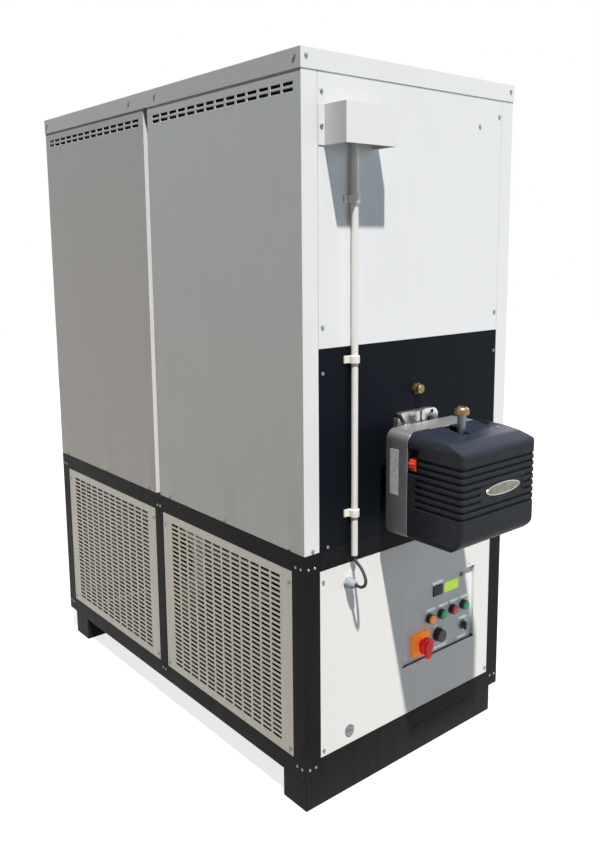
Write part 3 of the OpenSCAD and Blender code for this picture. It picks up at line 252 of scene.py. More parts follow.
def span(
    tree: Tree,
    value: Socket,
    source: tuple[float, float],
    target: tuple[float, float],
    **options: object,
) -> Socket:
    """Maps one range onto another.

    Args:
        tree: The node tree.
        value: The value to map.
        source: The range that it comes from.
        target: The range that it goes to.
        options: The node's own settings.

    Returns:
        The mapped value, kept within the target.
    """
    inputs = {"Value": value, "From Min": source[0], "From Max": source[1]}
    inputs |= {"To Min": target[0], "To Max": target[1]}
    return add_node(tree, "ShaderNodeMapRange", inputs, **options).outputs[0]


def maths(tree: Tree, operation: str, *terms: Socket | float) -> Socket:
    """Adds a sum.

    Args:
        tree: The tree that gets it.
        operation: The operation, such as "MULTIPLY".
        terms: What it works on, in order.

    Returns:
        The result.
    """
    inputs = dict(enumerate(terms))
    return add_node(tree, "ShaderNodeMath", inputs, operation=operation).outputs[0]


def blend(tree: Tree, amount: Socket, under: Socket | str, over: str) -> Socket:
    """Mixes two colours.

    Args:
        tree: The node tree.
        amount: The share of the second colour.
        under: The first colour, as a socket or a hex code.
        over: The second colour, as a hex code.

    Returns:
        The mixed colour.
    """
    first = srgb(under) if isinstance(under, str) else under
    inputs = {"Factor": amount, "A": first, "B": srgb(over)}
    return add_node(tree, "ShaderNodeMix", inputs, data_type="RGBA").outputs["Result"]


def relief(
    tree: Tree,
    height: Socket,
    strength: float,
    depth_mm: float,
    below: Socket | None = None,
    **options: object,
) -> Socket:
    """Turns a height into a bumpy normal.

    Args:
        tree: The node tree.
        height: The height, from 0 to 1.
        strength: How strong the bump is.
        depth_mm: The depth that a height of 1 stands for, in millimetres.
        below: The normal to build on.
        options: The node's own settings.

    Returns:
        The normal.
    """
    inputs = {"Height": height, "Strength": strength, "Distance": depth_mm * MM}
    if below is not None:
        inputs["Normal"] = below
    return add_node(tree, "ShaderNodeBump", inputs, **options).outputs[0]


def paint_top_light_and_shade(tree: Tree, colour: Socket, top: str) -> Socket:
    """Paints light and shade on the faces that look up, as a colour of their own.

    Args:
        tree: The node tree.
        colour: The colour of the other faces.
        top: The painted colour of the faces that look up, as a hex code, or nothing.

    Returns:
        The colour, which drifts from one to the other as the surface turns up.
    """
    if not top:
        return colour
    normal = add_node(tree, "ShaderNodeNewGeometry").outputs["Normal"]
    return blend(tree, span(tree, axis(tree, normal, "Z"), LEVEL, UNIT), colour, top)


class Working(Enum):
    """How a bare metal surface was made, as the stretch of its marks along X, Y and Z."""

    CAST = (1.0, 1.0, 1.0)
    BRUSHED_UPRIGHT = (1.0, 1.0, 0.03)
    TURNED_UPRIGHT = (0.15, 0.15, 1.0)
    ROLLED = (1.0, 0.2, 1.0)


class Facing(Enum):
    """The way the front of a flat piece looks, as its azimuth about Z in degrees."""

    FRONT = 0.0
    LEFT = -90.0


@dataclass(frozen=True)
class Finish:
    """A surface finish that makes its own material once."""

    name: str

    def material(self) -> bpy.types.Material:
        """Returns this finish's material, made on first use."""
        found = bpy.data.materials.get(self.name)
        if found is not None:
            return found
        material = bpy.data.materials.new(self.name)
        tree = blank_tree(material)
        shader = add_node(tree, "ShaderNodeBsdfPrincipled")
        add_node(tree, "ShaderNodeOutputMaterial", {"Surface": shader.outputs[0]})
        connect(tree, shader, self.look(tree))
        return material

    def look(self, tree: Tree) -> Inputs:
        """Builds the nodes of this finish. Each finish has its own.

        Args:
            tree: The node tree.

        Returns:
            What goes into the inputs of the Principled shader.
        """
        raise NotImplementedError


@dataclass(frozen=True)
class PowderCoat(Finish):
    """Polyester powder coat, sprayed and oven cured on folded sheet steel or tube."""

    colour: str
    roughness: float = 0.38
    specular: float = 0.5
    dust: float = 0.10
    dust_colour: str = "#9A9488"
    top: str = ""
    low_colour: str = ""
    low_mm: float = 700.0
    high_mm: float = 1750.0
    wave_mm: float = 260.0
    wave_depth_mm: float = 0.35
    splash_mm: float = 0.0
    splash: float = 0.12
    metallic: float = 0.0
    dimple_mm: float = 0.0
    dimple_from_mm: float = 55.0
    dimple_pitch_mm: float = 280.0
    dimple_low_mm: float = 676.0
    dimple_tall_mm: float = 190.0
    dimple_power: float = 9.0

    def look(self, tree: Tree) -> Inputs:
        """Builds the coat: a slow drift of tone, faint run marks, dust and a wavy sheet.

        Args:
            tree: The node tree.

        Returns:
            The shader's inputs.
        """
        where = place_on_object(tree)
        runs = RUNS.on(tree, where)
        marks = maths(tree, "MULTIPLY", DRIFT.on(tree, where), runs)
        dusting = span(tree, marks, DUSTY, (0.0, self.dust))
        if self.splash_mm > 0:
            # Dirt thrown up from the ground fades out over this height.
            tall = (0.0, self.splash_mm * MM)
            low = span(tree, axis(tree, where, "Z"), tall, (self.splash, 0.0))
            dusting = maths(tree, "ADD", dusting, maths(tree, "MULTIPLY", low, runs))
        # Painted light: where a low colour is given, the colour drifts with height.
        coat = self.fade(tree, where) if self.low_colour else self.colour
        peel = relief(tree, ORANGE_PEEL.on(tree, where), strength=0.12, depth_mm=0.25)
        # Thin sheet between its folds is never quite flat.
        wave = Texture(self.wave_mm, detail=0.0).on(tree, where)
        normal = relief(tree, wave, 1.0, self.wave_depth_mm, below=peel)
        if self.dimple_mm > 0:
            normal = self.dimples(tree, where, normal)
        gloss = (self.roughness - 0.05, self.roughness + 0.09)
        return {
            # Painted light and shade: faces that look up get the top colour, where one is given.
            "Base Color": paint_top_light_and_shade(tree, blend(tree, dusting, coat, self.dust_colour), self.top),
            "Roughness": span(tree, runs, MIDDLE, gloss),
            "Normal": normal,
            "Specular IOR Level": self.specular,
            "Metallic": self.metallic,
        }

    def dimples(self, tree: Tree, where: Socket, normal: Socket) -> Socket:
        """Pulls the sheet in above each screw of its lower edge, where it buckles a little.

        Args:
            tree: The node tree.
            where: The coordinates.
            normal: The normal to build on.

        Returns:
            The dimpled normal.
        """
        first = FRONT_Y + self.dimple_from_mm * MM
        turn = math.tau / (self.dimple_pitch_mm * MM)
        phase = maths(tree, "MULTIPLY_ADD", axis(tree, where, "Y"), turn, -first * turn)
        lifted = maths(tree, "MULTIPLY_ADD", maths(tree, "COSINE", phase), 0.5, 0.5)
        narrow = maths(tree, "POWER", lifted, self.dimple_power)
        rise = (self.dimple_low_mm * MM, (self.dimple_low_mm + self.dimple_tall_mm) * MM)
        height = axis(tree, where, "Z")
        fade = span(tree, height, rise, (1.0, 0.0), interpolation_type="SMOOTHSTEP")
        pull = maths(tree, "MULTIPLY", narrow, fade)
        return relief(tree, pull, 1.0, self.dimple_mm, below=normal, invert=True)

    def fade(self, tree: Tree, where: Socket) -> Socket:
        """Fades the coat from its tone near the ground to its own at the top, a painted drift of
        light that is warmer low down and cooler high up.

        Args:
            tree: The node tree.
            where: The coordinates.

        Returns:
            The faded colour.
        """
        rise = (self.low_mm * MM, self.high_mm * MM)
        up = span(tree, axis(tree, where, "Z"), rise, UNIT)
        return blend(tree, up, self.low_colour, self.colour)


@dataclass(frozen=True)
class MouldedPlastic(Finish):
    """Injection moulded ABS or polyamide, from matt to polished."""

    colour: str
    roughness: float = 0.45
    coat: float = 0.0
    coat_roughness: float = 0.12
    specular: float = 0.5
    grain_mm: float = 1.2
    grain_depth_mm: float = 0.05
    grain_strength: float = 0.35
    scuffs: float = 0.10
    scuff_colour: str = "#8C8B88"
    painted_glow: float = 0.0
    top: str = ""
    round_mm: float = 0.0

    def look(self, tree: Tree) -> Inputs:
        """Builds the plastic: a fine mould grain, scuffs and a drift of gloss.

        Args:
            tree: The node tree.

        Returns:
            The shader's inputs.
        """
        where = place_on_object(tree)
        patches = HANDLING.on(tree, where)
        worn = span(tree, patches, SCUFFED, (0.0, self.scuffs))
        shown = blend(tree, worn, self.colour, self.scuff_colour)
        inputs: Inputs = {}
        rounded = None
        if self.round_mm > 0:
            # A moulding's edges are drawn round, so they catch the light.
            rounded = add_node(tree, "ShaderNodeBevel", {"Radius": self.round_mm * MM}).outputs[0]
            inputs["Coat Normal"] = rounded
        grain = Texture(self.grain_mm, detail=2.0).on(tree, where)
        return inputs | {
            # Painted light and shade: faces that look up get the top colour, where one is given.
            "Base Color": paint_top_light_and_shade(tree, shown, self.top),
            "Roughness": span(tree, patches, MIDDLE, (self.roughness, self.roughness + 0.12)),
            "Normal": relief(tree, grain, self.grain_strength, self.grain_depth_mm, rounded),
            "Coat Weight": self.coat,
            "Coat Roughness": self.coat_roughness,
            "Specular IOR Level": self.specular,
            # Painted glow: an emission in the plastic's own colour keeps it bright in shade.
            "Emission Color": srgb(self.colour),
            "Emission Strength": self.painted_glow,
        }


@dataclass(frozen=True)
class BareMetal(Finish):
    """Uncoated metal with the marks of how it was worked, and some tarnish."""

    colour: str
    tarnish_colour: str
    roughness: float = 0.35
    tarnish: float = 0.4
    marks_mm: float = 2.5
    marks_depth_mm: float = 0.08
    marks_strength: float = 0.5
    working: Working = Working.CAST
    metallic: float = 1.0
    top: str = ""

    def look(self, tree: Tree) -> Inputs:
        """Builds the metal: worked marks in its bump and gloss, and tarnish in its colour.

        Args:
            tree: The node tree.

        Returns:
            The shader's inputs.
        """
        where = place_on_object(tree)
        marks = Texture(self.marks_mm, 4.0, 0.6, self.working.value).on(tree, where)
        amount = span(tree, TARNISH.on(tree, where), CLOUDY, (0.0, self.tarnish))
        shown = blend(tree, amount, self.colour, self.tarnish_colour)
        gloss = (self.roughness - 0.08, self.roughness + 0.14)
        return {
            # Painted light and shade: faces that look up get the top colour, where one is given.
            "Base Color": paint_top_light_and_shade(tree, shown, self.top),
            "Roughness": span(tree, marks, MIDDLE, gloss),
            "Normal": relief(tree, marks, self.marks_strength, self.marks_depth_mm),
            "Metallic": self.metallic,
        }


@dataclass(frozen=True)
class GalvanisedSheet(Finish):
    """Hot dip galvanised sheet, with the zinc's spangle."""

    colour: str
    dull_colour: str = "#7F858A"
    spangle_mm: float = 14.0
    roughness: float = 0.42
    metallic: float = 0.85

    def look(self, tree: Tree) -> Inputs:
        """Builds the sheet, whose crystals differ in tone and gloss.

        Args:
            tree: The node tree.

        Returns:
            The shader's inputs.
        """
        inputs = {"Vector": place_on_object(tree), "Scale": 1 / (self.spangle_mm * MM)}
        crystals = add_node(tree, "ShaderNodeTexVoronoi", inputs)
        edges, colour = crystals.outputs["Distance"], crystals.outputs["Color"]
        tone = add_node(tree, "ShaderNodeSeparateColor", {"Color": colour})
        gloss = (self.roughness - 0.08, self.roughness + 0.12)
        return {
            "Base Color": blend(tree, tone.outputs["Red"], self.colour, self.dull_colour),
            "Roughness": span(tree, tone.outputs["Green"], UNIT, gloss),
            "Normal": relief(tree, edges, strength=0.3, depth_mm=0.05),
            "Metallic": self.metallic,
        }


@dataclass(frozen=True)
class LampLens(Finish):
    """Tinted polycarbonate lens of a pilot lamp, with fine prisms on its inside."""

    colour: str
    roughness: float = 0.22
    painted_glow: float = 0.12
    prism_mm: float = 3.158
    clear: float = 0.08
    refraction: float = 1.58
    specular: float = 0.25
    coat: float = 0.08

    def look(self, tree: Tree) -> Inputs:
        """Builds the lens: clear, tinted, with upright prism lines.

        Args:
            tree: The node tree.

        Returns:
            The shader's inputs.
        """
        inputs = {"Vector": place_on_object(tree), "Distortion": 0.0}
        inputs["Scale"] = WAVE_PERIOD / (self.prism_mm * MM)
        bands = add_node(tree, "ShaderNodeTexWave", inputs, bands_direction="X")
        prisms = bands.outputs["Fac"]
        shine = span(tree, prisms, UNIT, (0.0, self.clear))
        return {
            "Base Color": blend(tree, shine, self.colour, "#FFFFFF"),
            "Normal": relief(tree, prisms, strength=0.5, depth_mm=0.2),
            "Roughness": self.roughness,
            "Transmission Weight": self.clear,
            "IOR": self.refraction,
            "Specular IOR Level": self.specular,
            "Coat Weight": self.coat,
            # Painted glow: an emission in the lens's own colour makes it look brighter than a
            # plain surface.
            "Emission Color": srgb(self.colour),
            "Emission Strength": self.painted_glow,
        }


@dataclass(frozen=True)
class PrintedFoil(Finish):
    """A bare self adhesive label of polyester foil, with slight creases and handling marks."""

    colour: str
    shade: str
    roughness: float = 0.35
    metallic: float = 0.0
    painted_glow: float = 0.0

    def look(self, tree: Tree) -> Inputs:
        """Builds the foil: faint mottling and shallow creases.

        Args:
            tree: The node tree.

        Returns:
            The shader's inputs.
        """
        mottle = MOTTLE.on(tree, place_on_object(tree))
        gloss = (self.roughness - 0.08, self.roughness + 0.12)
        amount = span(tree, mottle, CLOUDY, UNIT)
        return {
            "Base Color": blend(tree, amount, self.colour, self.shade),
            "Roughness": span(tree, mottle, UNIT, gloss),
            "Normal": relief(tree, mottle, strength=0.3, depth_mm=0.1),
            "Metallic": self.metallic,
            # Painted glow: an emission in the foil's own colour keeps the fluorescent foil bright
            # in shade.
            "Emission Color": srgb(self.colour),
            "Emission Strength": self.painted_glow,
        }


CABINET_WHITE = PowderCoat(
    "powder_coat_light_grey_white", "#EFF0F1", roughness=0.36, specular=0.25, dust=0.04
)
# Painted warm light: the warmth that light from the sunlit ground gives the panel nearest to it is
# drawn into its colour.
LOWER_PAINTED_WARM_LIGHT = replace(CABINET_WHITE, name="powder_coat_lower_painted_warm_light", colour="#F1F0EE")
# Painted shade: the long sides' faces that look left or right get a duller, cooler copy of the
# front's white, darker towards the bottom. The sides buckle a little above their lower screws.
SIDE_FRONT_PAINTED_SHADE = PowderCoat(
    "powder_coat_side_front_painted_shade",
    "#CDD5DD",
    low_colour="#CACCCA",
    roughness=0.38,
    specular=0.12,
    dust=0.05,
    wave_depth_mm=0.6,
    splash_mm=1700.0,
    splash=0.16,
    dimple_mm=1.6,
)
# The rear side panels' faces that look left or right get a darker copy, with the same painted
# shade.
SIDE_REAR_PAINTED_SHADE = replace(
    SIDE_FRONT_PAINTED_SHADE,
    name="powder_coat_side_rear_painted_shade",
    colour="#C5C8CB",
    low_colour="#C8C7C5",
    specular=0.05,
    dimple_from_mm=736.0,
)
# Painted shade: the lid's and the sensor cover's faces that look left or right get a copy too.
LID_SIDE_PAINTED_SHADE = replace(
    SIDE_FRONT_PAINTED_SHADE, name="powder_coat_lid_side_painted_shade", colour="#CDD2D8", dimple_mm=0.0
)
# Painted shade: the bent sensor cover's level top gets a darker tone, so it throws no bright patch
# on the panel behind it, and the lid's top gets a darker tone so it does not clip to white.
SENSOR_TOP_PAINTED_SHADE = replace(CABINET_WHITE, name="powder_coat_white_top_painted_shade", top="#8A8884")
LID_TOP_PAINTED_SHADE = replace(CABINET_WHITE, name="powder_coat_white_lid_top_painted_shade", top="#B2B1AE")
# Painted shade: the posts' faces behind the vents get a dark blue-grey, so the vents look dark.
VENT_PAINTED_SHADE = PowderCoat(
    "painted_shade_blue_grey_dark", "#232A38", roughness=0.6, specular=0.1, wave_depth_mm=0.0
)
# The grilles' coat holds aluminium flake, so it looks brighter than its colour where the
# lamp strikes it.
GRILLE_PAINT = PowderCoat(
    "powder_coat_flake_grey", "#A9A59C", roughness=0.45, dust=0.14, wave_depth_mm=0.0, metallic=0.7
)
FRAME_BLACK = PowderCoat(
    "powder_coat_black",
    "#141416",
    roughness=0.44,
    specular=0.06,
    dust=0.04,
    dust_colour="#77746E",
    wave_depth_mm=0.0,
    splash_mm=160.0,
)
BURNER_PLATE_PAINT = PowderCoat(
    "powder_coat_blue_black",
    "#0E131A",
    roughness=0.45,
    specular=0.05,
    dust=0.01,
    dust_colour="#5A6068",
    wave_depth_mm=0.15,
)
BLACK_PLASTIC = MouldedPlastic("polyamide_black", "#1A1A1C", roughness=0.42)
DISPLAY_PLASTIC = MouldedPlastic(
    "polycarbonate_display_black", "#0E0F12", roughness=0.2, coat=0.1, specular=0.2, scuffs=0.03
)
# Painted reflection: the cover's faces that look up get a bluer tone, standing in for the sky
# mirrored in them.
COVER_PLASTIC = MouldedPlastic(
    "abs_anthracite_gloss",
    "#262A30",
    roughness=0.40,
    coat=0.25,
    coat_roughness=0.20,
    specular=0.0,
    top="#282E3A",
    round_mm=7.0,
    grain_mm=4.0,
    grain_depth_mm=0.03,
    scuffs=0.04,
)
DAMPER_PLASTIC = MouldedPlastic("polyamide_damper_red", "#D0402E", roughness=0.35, scuffs=0.06)
# The switch plastics below have a painted glow that keeps their colours bright in shade.
SWITCH_RED = MouldedPlastic(
    "polyamide_switch_red",
    "#F0282E",
    roughness=0.30,
    coat=0.1,
    specular=0.2,
    scuffs=0.02,
    painted_glow=0.16,
)
SWITCH_ORANGE = MouldedPlastic(
    "polyamide_switch_yellow_orange",
    "#FF9E3A",
    roughness=0.35,
    coat=0.05,
    specular=0.2,
    scuffs=0.02,
    painted_glow=0.28,
)
GLAND_PLASTIC = MouldedPlastic(
    "polyamide_light_grey", "#969DA8", roughness=0.45, specular=0.3, scuffs=0.10
)
CONDUIT_PLASTIC = MouldedPlastic("pvc_light_grey_white", "#E6E6E5", roughness=0.38, scuffs=0.08)
CLIP_PLASTIC = MouldedPlastic("pvc_cream", "#EDEDE4", roughness=0.42, scuffs=0.08)
CABLE_JACKET = MouldedPlastic(
    "rubber_cable_black", "#1C1C1E", roughness=0.55, grain_mm=2.0, scuffs=0.12
)
BELT_RUBBER = MouldedPlastic(
    "rubber_belt_black", "#1B1B1C", roughness=0.65, grain_mm=2.0, scuffs=0.20
)
CAST_ALUMINIUM = BareMetal(
    "aluminium_pressure_cast", "#E2DFDA", "#8A8A8C", roughness=0.30, metallic=0.95
)
# Painted light: the casting's faces that look up get a lighter tone, standing in for the sun on
# them.
CAST_HOUSING = BareMetal(
    "aluminium_sand_cast_dull",
    "#808184",
    "#626367",
    top="#C2C2C1",
    roughness=0.40,
    marks_mm=3.0,
    metallic=0.9,
)
BRASS = BareMetal(
    "brass_turned",
    "#917B58",
    "#5E4A31",
    roughness=0.46,
    tarnish=0.6,
    marks_mm=1.5,
    working=Working.TURNED_UPRIGHT,
    marks_depth_mm=0.03,
)
ZINC_SCREW = BareMetal(
    "steel_zinc_plated", "#8F959B", "#54585E", roughness=0.36, marks_mm=1.5, tarnish=0.6
)
SATIN_CHROME = BareMetal(
    "chrome_satin", "#8F9295", "#66696D", roughness=0.22, marks_mm=1.0, marks_depth_mm=0.01
)
PIPE_STEEL = BareMetal(
    "steel_pipe_grey",
    "#7C848A",
    "#4A4F54",
    roughness=0.38,
    working=Working.BRUSHED_UPRIGHT,
    marks_depth_mm=0.04,
)
SHAFT_STEEL = BareMetal(
    "steel_turned", "#A9ABAD", "#77797C", roughness=0.28, marks_mm=1.2, working=Working.ROLLED
)
HEAT_STEEL = BareMetal(
    "steel_heat_stained",
    "#8C8378",
    "#4C3F37",
    roughness=0.5,
    tarnish=0.8,
    marks_mm=6.0,
    metallic=0.8,
)
CAST_IRON = BareMetal(
    "iron_cast", "#55585C", "#3A3330", roughness=0.55, marks_mm=2.0, marks_depth_mm=0.15
)
MOTOR_PAINT = PowderCoat(
    "enamel_motor_grey", "#4A5058", roughness=0.45, dust=0.25, wave_depth_mm=0.0
)
GALVANISED = GalvanisedSheet("steel_galvanised", "#B4B9BD")
# The lenses have a painted glow, strongest on the amber one.
LENS_AMBER = LampLens("polycarbonate_amber", "#FF9A30", painted_glow=0.26)
LENS_GREEN = LampLens("polycarbonate_green", "#16C47C")
LENS_RED = LampLens("polycarbonate_red", "#F23A4A")
LABEL_WHITE = PrintedFoil("foil_label_laminated_white", "#F4F4F2", "#E6E6E3", metallic=0.3)
# The lime tag has a painted glow that keeps it bright in shade.
LABEL_LIME = PrintedFoil(
    "foil_label_fluorescent_lime", "#C8F43A", "#B4E42C", roughness=0.30, painted_glow=0.40
)
RATING_FOIL = PrintedFoil("foil_rating_plate", "#D2D6DA", "#B4B9BE", roughness=0.38, metallic=0.3)
BADGE_FOIL = PrintedFoil("badge_satin_cream", "#88877B", "#6C6B60", roughness=0.30, metallic=0.3)
BADGE_RIM = BareMetal(
    "badge_rim_bright", "#C4C6C8", "#8E9093", roughness=0.2, marks_mm=1.0, marks_depth_mm=0.01
)

SLOT_FINISHES: dict[str, Finish] = {
    "frame_black": FRAME_BLACK,
    "grille_paint": GRILLE_PAINT,
    "cabinet_white": CABINET_WHITE,
    "burner_plate_paint": BURNER_PLATE_PAINT,
    "black_plastic": BLACK_PLASTIC,
    "zinc": GALVANISED,
    "screw_zinc": ZINC_SCREW,
    "lens_amber": LENS_AMBER,
    "lens_green": LENS_GREEN,
    "lens_red": LENS_RED,
    "switch_orange": SWITCH_ORANGE,
    "switch_red": SWITCH_RED,
    "damper_red": DAMPER_PLASTIC,
    "bezel_metal": SATIN_CHROME,
    "brass": BRASS,
    "gland_grey": GLAND_PLASTIC,
    "cable_black": CABLE_JACKET,
    "conduit_white": CONDUIT_PLASTIC,
    "clip_cream": CLIP_PLASTIC,
    "heat_steel": HEAT_STEEL,
    "shaft_steel": SHAFT_STEEL,
    "motor_grey": MOTOR_PAINT,
    "pulley_iron": CAST_IRON,
    "belt_rubber": BELT_RUBBER,
    "cast_aluminium": CAST_ALUMINIUM,
    "cover_anthracite": COVER_PLASTIC,
    "pipe_steel": PIPE_STEEL,
}

# Painted shade: each side panel's faces that look left or right get one of these shaded copies.
SIDE_PANEL_SHADED_COATS: dict[str, Finish] = {
    f"side_panel_{hand}_{end}": coat
    for hand in ("left", "right")
    for end, coat in (("front", SIDE_FRONT_PAINTED_SHADE), ("rear", SIDE_REAR_PAINTED_SHADE))
}

EDGES_MM: dict[float, tuple[str, ...]] = {
    0.5: ("lid",),
    0.6: ("front_upper_panel", "rear_panels", "selector_knob", "cable_gland", "motor_pulley"),
    0.8: (
        "burner_plate",
        "sensor_cover",
        "thermostat_knob",
        "union_nut",
        "sight_glass",
        "conduit_clips",
    ),
    0.9: (*SIDE_PANEL_SHADED_COATS, "lower_front_panel", "lower_rear_panel"),
    1.0: ("main_switch_plate",),
    1.2: ("burner_flange", "main_switch_knob"),
    2.0: ("skids", "burner_casting"),
    2.5: ("base_posts", "base_rails"),
    3.0: ("burner_cover",),
}
"""The solids whose edges have each radius, in millimetres."""


def rounded_outline(width: float, height: float, radius: float, steps: int = 8) -> list[Vector]:
    """Gives the corners of a rectangle with round corners, about its middle.

    Args:
        width: Size along X, in metres.
        height: Size along Z, in metres.
        radius: Radius of the corners, in metres.
        steps: Segments in each corner.

    Returns:
        Points in the XZ plane, anticlockwise seen from -Y.
    """
    points = []
    for quarter, (sx, sz) in enumerate(((1, 1), (-1, 1), (-1, -1), (1, -1))):
        for step in range(steps + 1):
            angle = math.radians(90 * quarter + 90 * step / steps)
            x = sx * (width / 2 - radius) + radius * math.cos(angle)
            z = sz * (height / 2 - radius) + radius * math.sin(angle)
            points.append(Vector((x, 0.0, z)))
    return points


def close_rings(mesh: Mesh, rings: list[list[bmesh.types.BMVert]]) -> None:
    """Joins rings of vertices into one closed skin, with a cap at each end.

    Args:
        mesh: The mesh that holds the vertices.
        rings: The rings in order, all with the same count.
    """
    count = len(rings[0])
    for low, high in zip(rings, rings[1:]):
        for i in range(count):
            after = (i + 1) % count
            mesh.faces.new((low[i], low[after], high[after], high[i]))
    mesh.faces.new(rings[-1])
    mesh.faces.new(list(reversed(rings[0])))
    bmesh.ops.recalc_face_normals(mesh, faces=mesh.faces[:])


def plate_mesh(outline: list[Vector], thickness: float, chamfer: float) -> Mesh:
    """Builds a plate whose back lies in the XZ plane and whose chamfered face looks along -Y.

    Args:
        outline: The plate's outline in the XZ plane.
        thickness: Size along Y, in metres.
        chamfer: Size of the chamfer round the face, in metres.

    Returns:
        The mesh, which add_piece frees.
    """
    middle = sum(outline, Vector()) / len(outline)
    reach = max((p - middle).length for p in outline)
    rings = []
    mesh = bmesh.new()
    for depth, inset in ((0.0, 0.0), (-(thickness - chamfer), 0.0), (-thickness, chamfer)):
        shrink = 1 - inset / reach
        foot = middle + Vector((0, depth, 0))
        rings.append([mesh.verts.new(foot + (p - middle) * shrink) for p in outline])
    close_rings(mesh, rings)
    return mesh


def add_piece(
    name: str,
    mesh: Mesh,
    place: Matrix,
    finish: Finish,
    body: str = "cabinet",
    smooth: bool = False,
) -> bpy.types.Object:
    """Turns a mesh into a dressed piece that rides on a body.

    Args:
        name: The piece's name.
        mesh: Its mesh, freed here.
        place: Where it stands in the row frame.
        finish: Its finish.
        body: The body that it rides on.
        smooth: True for curved faces.

    Returns:
        The new object.
    """
    data = bpy.data.meshes.new(name)
    mesh.transform(place)
    mesh.to_mesh(data)
    mesh.free()
    for polygon in data.polygons:
        polygon.use_smooth = smooth
    piece = link_object(name, data)
    data.materials.append(finish.material())
    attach(piece, body)
    LOG.info("piece %s on %s", name, body)
    return piece


